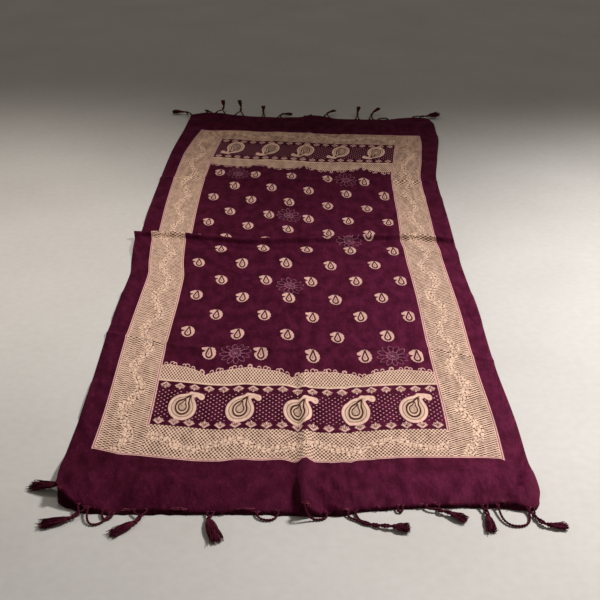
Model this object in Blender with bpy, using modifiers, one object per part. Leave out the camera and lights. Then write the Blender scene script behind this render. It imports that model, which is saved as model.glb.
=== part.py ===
"""Dupatta stole laid flat on a surface: one woven panel with its folds, and knotted tassels on both hems.

Metres, +Z up. The origin is under the middle of the whole stole, on the surface it lies on. X runs across
the cloth, and Y along it from the near hem to the far hem.

The panel is one wall of cloth. Six lines cross it: the near hem, the near crease, the two sides of the
fold across the middle, the far crease and the far hem. "Line" values count along them, so 0 is the near
hem, 1 the near crease, 2 and 3 the two sides of the middle fold, 4 the far crease and 5 the far hem.
"""

import math
from typing import NamedTuple

import bmesh
import bpy
import numpy as np
from mathutils import Vector

# Driving dimensions
CLOTH_WIDTH = 0.700
WALL = 0.0015
GAP = 0.0003
FLOOR_CLEARANCE = 0.0005
HALF = CLOTH_WIDTH / 2

# Brings the middle of the whole stole, tassels and all, over the origin
STOLE_PLACE = (0.005, 0.008, 0.0)

# The folds
CREASE_HEIGHT = 0.0045
CREASE_REACH = 0.009
CENTRE_BEND = 1.4  # how sharply the middle crease comes to its top
HEM_PUFF_REACH = 0.110
HEM_PUFF_SCALE = 27 / 4  # brings the puff's own curve to 1 at its top
CURL_BEND = 1.3  # how sharply a hem's edge turns up
FOLD_NEAR_REACH = 0.110
FOLD_FAR_REACH = 0.030
FOLD_CLEAR = 0.12  # share of a panel beside the fold over which other ridges die out

# The tassels
CORD_RADIUS = 0.0019
KNOT_RADIUS = 0.0053
KNOT_SIDES = 8
KNOT_RINGS = 6
LOCK_ROOT_RADIUS = 0.0018
LOCK_TIP_RADIUS = 0.0013
LOCKS = 7
LOCK_STATIONS = (0.12, 0.55, 1.0)  # shares of a lock's length, from inside the knot to its tip
TUFT_SPREAD = 0.0072
TUFT_ROOT_SPREAD = 0.35  # share of the spread already there at the knot
TUFT_RISE = 0.0036
OUTER_SHORTER = 0.12
UPPER_LONGER = 0.05
CORD_LEAVE = 0.30  # shares of a cord's length over which it leaves its hem and meets its knot straight
CORD_ARRIVE = 0.35
CORD_STEPS = 6
ROOT_RUN = 0.0045
ROOT_STEP = 0.0005
LOOP_TURN = 0.008
LOOP_STEPS = 5


class CrossLine(NamedTuple):
    """A point of a line that crosses the panel."""

    across: float  # flat distance from the panel's middle, + to the right
    y: float


class HemPoint(NamedTuple):
    """A point of a hem: where it lies, how its edge stands up and leans back, and the puff inside it."""

    across: float
    y: float
    edge: float  # how high the edge itself stands
    curl: float  # distance from the edge over which it rises
    lean: float  # how far the raised edge leans back over the cloth
    puff: float


class Selvedge(NamedTuple):
    """Where the two long edges lie at one station along the panel."""

    line: float
    left: float
    right: float


class CentreCrease(NamedTuple):
    """The lengthwise crease at one station: its place, its height and how far each side spreads."""

    line: float
    across: float
    height: float
    left: float
    right: float


class FoldSection(NamedTuple):
    """A point of the middle fold's section. tuck is the share of the tucked depth taken off its place."""

    place: float
    height: float
    tuck: float
    lift: float  # share of the local fold height that the point follows


class FoldStation(NamedTuple):
    """The middle fold at one place across the panel."""

    across: float
    y: float
    height: float
    tuck: float


class SoftFold(NamedTuple):
    """A soft ridge along a straight run, in the panel's own x and y."""

    x0: float
    y0: float
    x1: float
    y1: float
    height: float
    reach: float


class Tassel(NamedTuple):
    """Two cords from the hem to a knot, with a tuft of locks beyond it. Its roots are places in x."""

    name: str
    root_a: float
    root_b: float
    knot_x: float
    knot_y: float
    knot_z: float
    tip_x: float
    tip_y: float
    tip_z: float


class CordLoop(NamedTuple):
    """A cord that leaves the hem, lies in a loop and comes back to it. Its roots are places in x."""

    name: str
    root_a: float
    root_b: float
    reach_x: float
    reach_y: float


NEAR_HEM = (
    HemPoint(-0.350, -0.846, 0.0235, 0.034, 0.003, 0.0110),
    HemPoint(-0.334, -0.862, 0.0185, 0.030, 0.002, 0.0110),
    HemPoint(-0.308, -0.873, 0.0120, 0.022, 0.001, 0.0105),
    HemPoint(-0.270, -0.881, 0.0070, 0.022, 0.000, 0.0095),
    HemPoint(-0.225, -0.886, 0.0040, 0.030, 0.000, 0.0090),
    HemPoint(-0.170, -0.886, 0.0040, 0.032, 0.000, 0.0080),
    HemPoint(-0.110, -0.884, 0.0045, 0.032, 0.000, 0.0070),
    HemPoint(-0.060, -0.883, 0.0030, 0.032, 0.000, 0.0060),
    HemPoint(0.000, -0.886, 0.0030, 0.032, 0.000, 0.0050),
    HemPoint(0.050, -0.881, 0.0030, 0.032, 0.000, 0.0060),
    HemPoint(0.110, -0.878, 0.0045, 0.032, 0.000, 0.0060),
    HemPoint(0.180, -0.875, 0.0060, 0.032, 0.000, 0.0065),
    HemPoint(0.240, -0.872, 0.0060, 0.032, 0.000, 0.0080),
    HemPoint(0.295, -0.873, 0.0105, 0.026, 0.000, 0.0110),
    HemPoint(0.326, -0.876, 0.0070, 0.020, 0.000, 0.0130),
    HemPoint(0.350, -0.869, 0.0030, 0.018, 0.000, 0.0090),
)

NEAR_CREASE = (
    CrossLine(-0.350, -0.393),
    CrossLine(-0.290, -0.408),
    CrossLine(-0.210, -0.436),
    CrossLine(-0.150, -0.447),
    CrossLine(0.050, -0.447),
    CrossLine(0.240, -0.446),
    CrossLine(0.310, -0.470),
    CrossLine(0.350, -0.486),
)

FAR_CREASE = (
    CrossLine(-0.350, 0.371),
    CrossLine(-0.270, 0.377),
    CrossLine(-0.150, 0.361),
    CrossLine(0.000, 0.355),
    CrossLine(0.180, 0.352),
    CrossLine(0.350, 0.346),
)

FAR_HEM = (
    HemPoint(-0.350, 0.860, 0.0100, 0.030, 0.000, 0.0060),
    HemPoint(-0.290, 0.862, 0.0150, 0.030, 0.000, 0.0080),
    HemPoint(-0.210, 0.857, 0.0080, 0.030, 0.000, 0.0050),
    HemPoint(-0.110, 0.850, 0.0040, 0.030, 0.000, 0.0040),
    HemPoint(-0.040, 0.842, 0.0070, 0.030, 0.000, 0.0055),
    HemPoint(0.020, 0.838, 0.0140, 0.030, 0.000, 0.0080),
    HemPoint(0.090, 0.832, 0.0050, 0.030, 0.000, 0.0045),
    HemPoint(0.210, 0.829, 0.0040, 0.030, 0.000, 0.0045),
    HemPoint(0.300, 0.832, 0.0090, 0.030, 0.000, 0.0060),
    HemPoint(0.350, 0.812, 0.0070, 0.024, 0.000, 0.0060),
)

SELVEDGES = (
    Selvedge(0.00, -0.3545, 0.3230),
    Selvedge(0.05, -0.3630, 0.3270),
    Selvedge(0.18, -0.3680, 0.3285),
    Selvedge(0.50, -0.3650, 0.3285),
    Selvedge(1.00, -0.3675, 0.3240),
    Selvedge(1.50, -0.3685, 0.3265),
    Selvedge(2.00, -0.3755, 0.3225),
    Selvedge(3.00, -0.3690, 0.3245),
    Selvedge(3.40, -0.3700, 0.3275),
    Selvedge(4.00, -0.3670, 0.3315),
    Selvedge(4.35, -0.3630, 0.3530),
    Selvedge(4.74, -0.3490, 0.3790),
    Selvedge(4.92, -0.3400, 0.3740),
    Selvedge(5.00, -0.3370, 0.3480),
)

CENTRE_CREASES = (
    CentreCrease(0.00, 0.016, 0.0170, 0.028, 0.055),
    CentreCrease(0.14, 0.014, 0.0120, 0.022, 0.045),
    CentreCrease(0.30, 0.011, 0.0055, 0.013, 0.022),
    CentreCrease(0.60, 0.010, 0.0036, 0.009, 0.012),
    CentreCrease(1.80, 0.012, 0.0036, 0.009, 0.012),
    CentreCrease(2.00, 0.012, 0.0000, 0.009, 0.012),
    CentreCrease(3.00, 0.012, 0.0000, 0.009, 0.012),
    CentreCrease(3.20, 0.012, 0.0032, 0.009, 0.012),
    CentreCrease(4.00, 0.004, 0.0030, 0.009, 0.012),
    CentreCrease(4.80, 0.000, 0.0040, 0.012, 0.018),
    CentreCrease(5.00, 0.000, 0.0020, 0.016, 0.024),
)

FOLD_LINE = (
    FoldStation(-0.350, 0.019, 0.92, 0.013),
    FoldStation(-0.270, 0.014, 1.00, 0.015),
    FoldStation(-0.180, -0.003, 0.90, 0.019),
    FoldStation(-0.090, -0.021, 0.98, 0.023),
    FoldStation(0.000, -0.018, 1.06, 0.027),
    FoldStation(0.090, -0.012, 0.96, 0.031),
    FoldStation(0.160, -0.002, 0.98, 0.035),
    FoldStation(0.260, -0.001, 1.04, 0.039),
    FoldStation(0.350, -0.015, 0.94, 0.043),
)

FOLD_SECTION = (
    FoldSection(-0.0950, 0.0014, 0.0, 1.0),
    FoldSection(-0.0750, 0.0050, 0.0, 1.0),
    FoldSection(-0.0520, 0.0096, 0.0, 1.0),
    FoldSection(-0.0340, 0.0090, 0.0, 1.0),
    FoldSection(-0.0200, 0.0076, 0.0, 0.5),
    FoldSection(-0.0120, 0.0076, 0.0, 0.5),
    FoldSection(-0.0072, 0.0098, 0.0, 1.0),
    FoldSection(-0.0045, 0.0142, 0.0, 1.0),
    FoldSection(-0.0020, 0.0184, 0.0, 1.0),
    FoldSection(0.0010, 0.0198, 0.0, 1.0),
    FoldSection(0.0038, 0.0182, 0.0, 1.0),
    FoldSection(0.0056, 0.0138, 0.0, 1.0),
    FoldSection(0.0062, 0.0092, 0.0, 0.6),
    FoldSection(0.0050, 0.0058, 0.0, 0.0),
    FoldSection(0.0016, 0.0043, 0.0, 0.0),
    FoldSection(-0.0040, 0.0041, 0.2, 0.0),
    FoldSection(0.0040, 0.0041, 1.0, 0.0),
    FoldSection(0.0015, 0.0038, 1.0, 0.0),
    FoldSection(0.0000, 0.0024, 1.0, 0.0),
    FoldSection(0.0015, 0.0010, 1.0, 0.0),
    FoldSection(0.0040, WALL / 2, 1.0, 0.0),
    FoldSection(0.0000, WALL / 2, 0.2, 0.0),
    FoldSection(0.0120, WALL / 2, 0.0, 0.0),
)

SOFT_FOLDS = (
    SoftFold(0.300, -0.760, 0.318, -0.850, 0.0060, 0.016),
    SoftFold(0.262, -0.815, 0.300, -0.850, 0.0040, 0.014),
    SoftFold(0.030, -0.885, 0.062, -0.800, 0.0040, 0.012),
    SoftFold(0.060, -0.880, 0.120, -0.820, 0.0030, 0.012),
    SoftFold(-0.330, -0.740, -0.290, -0.850, 0.0040, 0.022),
    SoftFold(-0.358, -0.560, -0.366, -0.640, 0.0030, 0.010),
    SoftFold(-0.362, -0.240, -0.366, -0.330, 0.0025, 0.010),
    SoftFold(0.322, -0.340, 0.325, -0.250, 0.0025, 0.010),
    SoftFold(0.060, 0.190, 0.250, 0.150, 0.0030, 0.014),
    SoftFold(0.150, 0.300, 0.320, 0.235, 0.0030, 0.014),
    SoftFold(-0.360, 0.110, -0.355, 0.190, 0.0030, 0.012),
    SoftFold(0.345, 0.520, 0.370, 0.680, 0.0040, 0.016),
)

# Places of the rows of faces between two lines, and of the columns across the panel
ROWS = (0.0, 0.010, 0.024, 0.050, 0.100, 0.190, 0.320, 0.480, 0.640, 0.790, 0.900, 0.970)
COLUMNS = (
    -0.350, -0.343, -0.334, -0.322, -0.304, -0.276, -0.240, -0.195, -0.150, -0.105,
    -0.065, -0.036, -0.018, -0.006, 0.003, 0.012, 0.022, 0.036, 0.060,
    0.095, 0.135, 0.180, 0.225, 0.265, 0.298, 0.322, 0.340, 0.350,
)  # fmt: skip

NEAR_TASSELS = (
    Tassel("near_tassel_01", -0.3520, -0.3440, -0.373, -0.826, 0.0185, -0.402, -0.815, 0.0100),
    Tassel("near_tassel_02", -0.323, -0.312, -0.334, -0.900, 0.0052, -0.366, -0.906, 0.0035),
    Tassel("near_tassel_03", -0.233, -0.222, -0.247, -0.909, 0.0052, -0.273, -0.928, 0.0035),
    Tassel("near_tassel_04", -0.143, -0.133, -0.137, -0.902, 0.0054, -0.128, -0.936, 0.0035),
    Tassel("near_tassel_05", 0.040, 0.056, 0.110, -0.905, 0.0052, 0.134, -0.906, 0.0035),
    Tassel("near_tassel_06", 0.168, 0.180, 0.194, -0.886, 0.0054, 0.214, -0.895, 0.0035),
    Tassel("near_tassel_07", 0.241, 0.250, 0.246, -0.884, 0.0054, 0.249, -0.912, 0.0035),
    Tassel("near_tassel_08", 0.302, 0.314, 0.328, -0.899, 0.0052, 0.356, -0.903, 0.0035),
)

FAR_TASSELS = (
    Tassel("far_tassel_01", -0.348, -0.338, -0.368, 0.890, 0.0080, -0.394, 0.897, 0.0050),
    Tassel("far_tassel_02", -0.290, -0.278, -0.290, 0.888, 0.0110, -0.296, 0.912, 0.0080),
    Tassel("far_tassel_03", -0.262, -0.238, -0.243, 0.905, 0.0240, -0.246, 0.924, 0.0340),
    Tassel("far_tassel_04", -0.206, -0.182, -0.192, 0.903, 0.0240, -0.196, 0.924, 0.0340),
    Tassel("far_tassel_05", -0.126, -0.118, -0.124, 0.893, 0.0140, -0.124, 0.915, 0.0190),
    Tassel("far_tassel_06", -0.080, -0.070, -0.064, 0.876, 0.0070, -0.040, 0.889, 0.0050),
    Tassel("far_tassel_07", 0.058, 0.072, 0.072, 0.872, 0.0130, 0.090, 0.888, 0.0150),
    Tassel("far_tassel_08", 0.150, 0.160, 0.158, 0.874, 0.0150, 0.162, 0.895, 0.0230),
    Tassel("far_tassel_09", 0.190, 0.202, 0.204, 0.872, 0.0130, 0.222, 0.891, 0.0210),
    Tassel("far_tassel_10", 0.318, 0.340, 0.372, 0.850, 0.0070, 0.398, 0.858, 0.0050),
)

NEAR_LOOPS = (
    CordLoop("near_loop_01", -0.304, -0.292, -0.314, -0.908),
    CordLoop("near_loop_02", -0.283, -0.262, -0.288, -0.903),
    CordLoop("near_loop_03", -0.078, -0.050, -0.062, -0.898),
    CordLoop("near_loop_04", -0.008, 0.020, 0.008, -0.899),
    CordLoop("near_loop_05", 0.118, 0.131, 0.126, -0.890),
    CordLoop("near_loop_06", 0.264, 0.292, 0.282, -0.905),
)

FAR_LOOPS = (
    CordLoop("far_loop_01", 0.000, 0.018, 0.010, 0.858),
    CordLoop("far_loop_02", 0.216, 0.244, 0.234, 0.852),
)


def clear_scene():
    """Remove whatever the file holds."""
    for thing in list(bpy.data.objects):
        bpy.data.objects.remove(thing, do_unlink=True)


def new_collection(name):
    """Add a collection to the scene."""
    collection = bpy.data.collections.new(name)
    bpy.context.scene.collection.children.link(collection)
    return collection


def cloth_material(name, colour, roughness):
    """A plain cloth or cord finish."""
    material = bpy.data.materials.new(name)
    material.use_nodes = True
    shader = material.node_tree.nodes["Principled BSDF"]
    shader.inputs["Base Color"].default_value = (*colour, 1.0)
    shader.inputs["Roughness"].default_value = roughness
    shader.inputs["Metallic"].default_value = 0.0
    return material


def smooth_read(places, values, at):
    """Read a curve through (places, values) that is smooth and never overshoots its points."""
    places = np.asarray(places, float)
    values = np.asarray(values, float)
    run = np.diff(places)
    rise = np.diff(values) / run
    slope = np.concatenate(([rise[0]], np.zeros(len(run) - 1), [rise[-1]]))
    same_way = rise[:-1] * rise[1:] > 0
    middle = 2 * rise[:-1] * rise[1:] / np.where(same_way, rise[:-1] + rise[1:], 1.0)
    slope[1:-1] = np.where(same_way, middle, 0.0)
    at = np.clip(at, places[0], places[-1])
    i = np.clip(np.searchsorted(places, at, side="right") - 1, 0, len(run) - 1)
    t = (at - places[i]) / run[i]
    start = values[i] * (1 + 2 * t) * (1 - t) ** 2 + values[i + 1] * t**2 * (3 - 2 * t)
    return start + run[i] * (slope[i] * t * (1 - t) ** 2 - slope[i + 1] * t**2 * (1 - t))


def column_of(table, name):
    """One named column of a table."""
    return [getattr(row, name) for row in table]


def read_across(table, name, across):
    """A table's column, read at a place across the panel."""
    return smooth_read(column_of(table, "across"), column_of(table, name), across)


def read_along(table, name, line):
    """A table's column, read at a station along the panel."""
    return smooth_read(column_of(table, "line"), column_of(table, name), line)


def panel_x(across, line):
    """Where a thread at a flat distance from the panel's middle lies at a station along it."""
    left = read_along(SELVEDGES, "left", line)
    right = read_along(SELVEDGES, "right", line)
    return left + (right - left) * (across + HALF) / CLOTH_WIDTH


def line_y(index, across):
    """The y of one of the six lines that cross the panel."""
    if index == 0:
        return read_across(NEAR_HEM, "y", across)
    if index == 1:
        return read_across(NEAR_CREASE, "y", across)
    if index == 2:
        return read_across(FOLD_LINE, "y", across) - FOLD_NEAR_REACH
    if index == 3:
        return read_across(FOLD_LINE, "y", across) + FOLD_FAR_REACH
    if index == 4:
        return read_across(FAR_CREASE, "y", across)
    return read_across(FAR_HEM, "y", across)


def hem_lift(table, across, inward):
    """How far a hem holds the cloth off the floor, and how far its raised edge leans back."""
    edge = read_across(table, "edge", across)
    puff = read_across(table, "puff", across)
    curl = read_across(table, "curl", across)
    rolled = np.clip(1 - inward / curl, 0, 1)
    t = np.clip(inward / HEM_PUFF_REACH, 0, 1)
    swell = HEM_PUFF_SCALE * t * (1 - t) ** 2
    return edge * rolled**CURL_BEND + puff * swell, read_across(table, "lean", across) * rolled**2


def crease_lift(y, crease_y, height):
    """A sharp low ridge across the cloth."""
    return height * np.exp(-np.abs(y - crease_y) / CREASE_REACH)


def centre_lift(across, line):
    """The crease along the middle, steeper on its left side."""
    place = read_along(CENTRE_CREASES, "across", line)
    height = read_along(CENTRE_CREASES, "height", line)
    left = read_along(CENTRE_CREASES, "left", line)
    right = read_along(CENTRE_CREASES, "right", line)
    off = across - place
    reach = np.where(off < 0, left, right)
    return height * np.clip(1 - np.abs(off) / reach, 0, 1) ** CENTRE_BEND


def soft_lift(x, y):
    """All the soft ridges that lie on the cloth."""
    lift = np.zeros_like(x)
    for fold in SOFT_FOLDS:
        run = np.array([fold.x1 - fold.x0, fold.y1 - fold.y0])
        t = ((x - fold.x0) * run[0] + (y - fold.y0) * run[1]) / (run @ run)
        inside = np.clip(t, 0, 1)
        away = np.hypot(x - fold.x0 - inside * run[0], y - fold.y0 - inside * run[1])
        lift += fold.height * np.clip(1 - (away / (2 * fold.reach)) ** 2, 0, 1) ** 2
    return lift


def laid_row(line, across):
    """A row of points of the cloth's middle surface between two of its lines."""
    index = min(int(line), 4)
    share = line - index
    y = line_y(index, across) * (1 - share) + line_y(index + 1, across) * share
    x = panel_x(across, line)
    near_lift, near_lean = hem_lift(NEAR_HEM, across, y - line_y(0, across))
    far_lift, far_lean = hem_lift(FAR_HEM, across, line_y(5, across) - y)
    lift = near_lift + far_lift
    lift = lift + crease_lift(y, line_y(1, across), CREASE_HEIGHT)
    lift = lift + crease_lift(y, line_y(4, across), CREASE_HEIGHT)
    lift = lift + centre_lift(across, line)
    beside_fold = np.clip(np.minimum(abs(line - 2), abs(line - 3)) / FOLD_CLEAR, 0, 1)
    lift = (lift + soft_lift(x, y)) * beside_fold
    return np.stack([x, y + near_lean - far_lean, WALL / 2 + lift], axis=1)


def fold_row(point, share, across):
    """A row of points of the middle fold, for one point of its section."""
    tuck = read_across(FOLD_LINE, "tuck", across)
    y = read_across(FOLD_LINE, "y", across) + point.place - point.tuck * tuck
    scale = 1 + (read_across(FOLD_LINE, "height", across) - 1) * point.lift
    x = panel_x(across, 2 + share)
    return np.stack([x, y, point.height * scale], axis=1)


def panel_rows():
    """Every row of the panel's middle surface, from the near hem to the far hem."""
    across = np.array(COLUMNS)
    rows = [laid_row(index + share, across) for index in (0, 1) for share in ROWS]
    rows.append(laid_row(2, across))
    last = len(FOLD_SECTION) + 1
    rows += [fold_row(p, (i + 1) / last, across) for i, p in enumerate(FOLD_SECTION)]
    rows += [laid_row(index + share, across) for index in (3, 4) for share in ROWS]
    rows.append(laid_row(5, across))
    return np.stack(rows)


def add_to_stole(thing, collection, stole):
    """Put a piece in its collection, carried by the stole's own origin."""
    collection.objects.link(thing)
    thing.parent = stole


def build_panel(collection, stole, material):
    """The cloth: one open surface through the rows, given its wall."""
    rows = panel_rows()
    down, wide = rows.shape[:2]
    corner = np.arange(down * wide).reshape(down, wide)
    faces = np.stack([corner[:-1, :-1], corner[:-1, 1:], corner[1:, 1:], corner[1:, :-1]], axis=-1)
    mesh = bpy.data.meshes.new("stole_panel")
    mesh.from_pydata(rows.reshape(-1, 3).tolist(), [], faces.reshape(-1, 4).tolist())
    mesh.shade_smooth()
    mesh.materials.append(material)
    panel = bpy.data.objects.new("stole_panel", mesh)
    add_to_stole(panel, collection, stole)
    wall = panel.modifiers.new("Wall", "SOLIDIFY")
    wall.thickness = WALL
    wall.offset = 0.0
    wall.use_even_offset = True
    wall.use_rim = True
    return panel


def way_out(place, inner, beside):
    """The direction in which the cloth ends at its edge, square to the edge."""
    out = (place - inner).normalized()
    along = (beside - place).normalized()
    return (out - along * out.dot(along)).normalized()


def cloth_point(across, line):
    """A point of the panel on one of its rows, straight between its columns as its faces are."""
    row = laid_row(line, np.array(COLUMNS))
    return Vector([np.interp(across, COLUMNS, row[:, k]) for k in range(3)])


def hem_root(x, far):
    """Where a cord leaves a hem, and the way out from it."""
    line = 5.0 if far else 0.0
    inner_line = 4.0 + ROWS[-1] if far else ROWS[1]
    left = read_along(SELVEDGES, "left", line)
    right = read_along(SELVEDGES, "right", line)
    across = (x - left) / (right - left) * CLOTH_WIDTH - HALF
    place = cloth_point(across, line)
    beside = cloth_point(across + ROOT_STEP, line)
    out = way_out(place, cloth_point(across, inner_line), beside)
    return place + out * GAP, out


def bent(points, steps):
    """Points along the cubic curve that four points steer."""
    a, b, c, d = points
    found = []
    for i in range(steps + 1):
        t = i / steps
        u = 1 - t
        found.append(a * u**3 + b * (3 * u * u * t) + c * (3 * u * t * t) + d * t**3)
    return found


def add_strand(curve, points, radii):
    """Add one straight-sided strand to a curve, its thickness given at each point."""
    spline = curve.splines.new("POLY")
    spline.points.add(len(points) - 1)
    for slot, point, radius in zip(spline.points, points, radii):
        slot.co = (*point, 1.0)
        slot.radius = radius


def new_strands(name):
    """An empty curve whose strands have four sides and closed ends."""
    curve = bpy.data.curves.new(name, "CURVE")
    curve.dimensions = "3D"
    curve.bevel_depth = 1.0
    curve.bevel_resolution = 0
    curve.use_fill_caps = True
    return curve


def strands_to_mesh(curve, collection, stole, name):
    """Turn a curve of strands into a mesh object with its caps welded on."""
    maker = bpy.data.objects.new(name + "_maker", curve)
    collection.objects.link(maker)
    graph = bpy.context.evaluated_depsgraph_get()
    mesh = bpy.data.meshes.new_from_object(maker.evaluated_get(graph))
    matrix = maker.matrix_world.copy()
    bpy.data.objects.remove(maker, do_unlink=True)
    work = bmesh.new()
    work.from_mesh(mesh)
    bmesh.ops.remove_doubles(work, verts=work.verts, dist=0.00001)
    bmesh.ops.recalc_face_normals(work, faces=work.faces)
    work.to_mesh(mesh)
    work.free()
    mesh.name = name
    strands = bpy.data.objects.new(name, mesh)
    strands.matrix_world = matrix
    add_to_stole(strands, collection, stole)
    return strands


def cord_points(root, out, knot, towards):
    """A cord's path: straight out of the hem, then down to its knot."""
    lowest = CORD_RADIUS + FLOOR_CLEARANCE
    clear = root + out * ROOT_RUN
    reach = (knot - clear).length
    leave = clear + out * (CORD_LEAVE * reach)
    arrive = knot - towards * (CORD_ARRIVE * reach)
    found = bent((clear, leave, arrive, knot), CORD_STEPS)
    for point in found:
        point.z = max(point.z, lowest)
    return [root, *found]


def lock_points(knot, tip, place):
    """A lock's path from inside the knot to its tip, fanned out by its place in the tuft."""
    forward = (tip - knot).normalized()
    side = forward.cross(Vector((0, 0, 1))).normalized()
    rise = side.cross(forward)
    upper = place % 2
    spread = (place - (LOCKS - 1) / 2) / ((LOCKS - 1) / 2)
    reach = (tip - knot).length * (1 - OUTER_SHORTER * abs(spread) + UPPER_LONGER * upper)
    found = []
    for share in LOCK_STATIONS:
        fanned = min(1.0, 2.0 * share)
        wide = TUFT_ROOT_SPREAD + (1 - TUFT_ROOT_SPREAD) * share
        away = side * (TUFT_SPREAD * spread * wide * fanned)
        point = knot + forward * (reach * share) + away + rise * (TUFT_RISE * upper * fanned)
        point.z = max(point.z, LOCK_ROOT_RADIUS + FLOOR_CLEARANCE)
        found.append(point)
    return found


def build_tassel(tassel, far, parts, cutters, stole, material):
    """Two cords, a knot and a tuft of locks, made one body at the knot."""
    knot = Vector((tassel.knot_x, tassel.knot_y, tassel.knot_z + FLOOR_CLEARANCE))
    tip = Vector((tassel.tip_x, tassel.tip_y, tassel.tip_z))
    towards = (tip - knot).normalized()
    curve = new_strands(tassel.name + "_strands")
    for x in (tassel.root_a, tassel.root_b):
        root, out = hem_root(x, far)
        points = cord_points(root, out, knot, towards)
        add_strand(curve, points, [CORD_RADIUS] * len(points))
    for place in range(LOCKS):
        radii = (LOCK_ROOT_RADIUS, LOCK_ROOT_RADIUS, LOCK_TIP_RADIUS)
        add_strand(curve, lock_points(knot, tip, place), radii)
    strands = strands_to_mesh(curve, cutters, stole, tassel.name + "_strands")
    strands.hide_render = True
    strands.display_type = "WIRE"

    work = bmesh.new()
    bmesh.ops.create_uvsphere(work, u_segments=KNOT_SIDES, v_segments=KNOT_RINGS, radius=KNOT_RADIUS)
    mesh = bpy.data.meshes.new(tassel.name)
    work.to_mesh(mesh)
    work.free()
    mesh.shade_smooth()
    mesh.materials.append(material)
    head = bpy.data.objects.new(tassel.name, mesh)
    head.location = knot
    head.rotation_euler = (0, 0, math.atan2(towards.y, towards.x))
    add_to_stole(head, parts, stole)
    join = head.modifiers.new("Strands", "BOOLEAN")
    join.operation = "UNION"
    join.solver = "EXACT"
    join.use_self = True
    join.object = strands
    return head


def build_loop(loop, far, parts, stole, material):
    """One cord that lies in a loop beside the hem."""
    root_a, out_a = hem_root(loop.root_a, far)
    root_b, out_b = hem_root(loop.root_b, far)
    lowest = CORD_RADIUS + FLOOR_CLEARANCE
    reach = Vector((loop.reach_x, loop.reach_y, lowest))
    turn = Vector((LOOP_TURN, 0, 0))
    clear_a = root_a + out_a * ROOT_RUN
    clear_b = root_b + out_b * ROOT_RUN
    go = bent((clear_a, clear_a + out_a * ROOT_RUN, reach - turn, reach), LOOP_STEPS)
    back = bent((reach, reach + turn, clear_b + out_b * ROOT_RUN, clear_b), LOOP_STEPS)
    points = [root_a, *go, *back[1:], root_b]
    for point in points[1:-1]:
        point.z = max(point.z, lowest)
    curve = new_strands(loop.name)
    add_strand(curve, points, [CORD_RADIUS] * len(points))
    cord = strands_to_mesh(curve, parts, stole, loop.name)
    cord.data.materials.append(material)
    return cord


def main():
    """Build the stole."""
    clear_scene()
    parts = new_collection("dupatta_stole")
    cutters = new_collection("tassel_strands")
    cloth = cloth_material("maroon_cloth", (0.075, 0.008, 0.028), 0.75)
    thread = cloth_material("maroon_thread", (0.050, 0.007, 0.020), 0.85)
    stole = bpy.data.objects.new("stole", None)
    stole.location = STOLE_PLACE
    parts.objects.link(stole)
    build_panel(parts, stole, cloth)
    for tassel in NEAR_TASSELS:
        build_tassel(tassel, False, parts, cutters, stole, thread)
    for tassel in FAR_TASSELS:
        build_tassel(tassel, True, parts, cutters, stole, thread)
    for loop in NEAR_LOOPS:
        build_loop(loop, False, parts, stole, thread)
    for loop in FAR_LOOPS:
        build_loop(loop, True, parts, stole, thread)


main()
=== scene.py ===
"""Finish and light a dupatta stole that lies opened out on a floor.

The stole is one long woven cloth. Sharp fold creases still cross it, and the one across the middle stands up
as a tucked fold. Gold bands frame a field of small paisleys, a strip of large paisleys lies at each end, and
both hems carry knotted tassels.

Metres, +Z up. X runs across the cloth and Y along it, from the near hem to the far hem.

Two parameters place every point of the cloth. "Across" is the flat distance from its middle, from -0.35 at
the left edge to 0.35 at the right. "Line" counts along it: 0 is the near hem, 1 the near crease, 2 and 3 the
two sides of the middle fold, 4 the far crease and 5 the far hem.
"""

import logging
import math
from dataclasses import dataclass, field
from enum import Enum
from typing import NamedTuple

import bpy
import numpy as np
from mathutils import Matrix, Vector


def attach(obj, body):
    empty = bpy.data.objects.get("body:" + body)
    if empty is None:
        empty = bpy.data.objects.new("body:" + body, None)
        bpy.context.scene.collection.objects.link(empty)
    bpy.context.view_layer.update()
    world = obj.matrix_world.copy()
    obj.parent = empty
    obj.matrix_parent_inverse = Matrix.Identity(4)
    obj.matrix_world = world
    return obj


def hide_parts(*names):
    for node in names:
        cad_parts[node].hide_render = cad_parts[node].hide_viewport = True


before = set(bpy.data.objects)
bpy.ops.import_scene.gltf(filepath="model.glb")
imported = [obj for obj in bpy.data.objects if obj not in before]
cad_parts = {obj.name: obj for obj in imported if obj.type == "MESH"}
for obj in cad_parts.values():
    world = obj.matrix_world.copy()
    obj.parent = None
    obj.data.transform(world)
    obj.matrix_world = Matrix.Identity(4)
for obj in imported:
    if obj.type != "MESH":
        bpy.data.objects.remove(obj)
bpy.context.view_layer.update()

log = logging.getLogger("dupatta_stole")

Array = np.ndarray
Tree = bpy.types.NodeTree
Socket = bpy.types.NodeSocket

CLOTH_WIDTH = 0.7
HALF_WIDTH = CLOTH_WIDTH / 2
CLOTH_WALL = 0.001
STOLE_PLACE = np.array([0.005, 0.008, 0.0])
GOLDEN_ANGLE = 2.39996


class Hem(Enum):
    """The two ends of the cloth, which both carry a fringe."""

    NEAR = "near"
    FAR = "far"


class CrossLine(NamedTuple):
    """A point of a line that crosses the cloth."""

    across: float
    y: float


class HemPoint(NamedTuple):
    """A point of a hem: its place, how its edge stands up, the puff inside it, and how far it leans back."""

    across: float
    y: float
    edge: float
    curl: float
    puff: float
    lean: float = 0.0


class Selvedge(NamedTuple):
    """Where the two long edges lie at one station along the cloth."""

    line: float
    left: float
    right: float


class CentreCrease(NamedTuple):
    """The lengthwise crease at one station: its place, its height and how far each side spreads."""

    line: float
    across: float
    height: float
    left: float
    right: float


class FoldSection(NamedTuple):
    """A point of the middle fold's section.

    tuck is the share of the tucked depth taken off its place. lift is how far it follows the fold's height.
    """

    place: float
    height: float
    tuck: float
    lift: float


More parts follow.
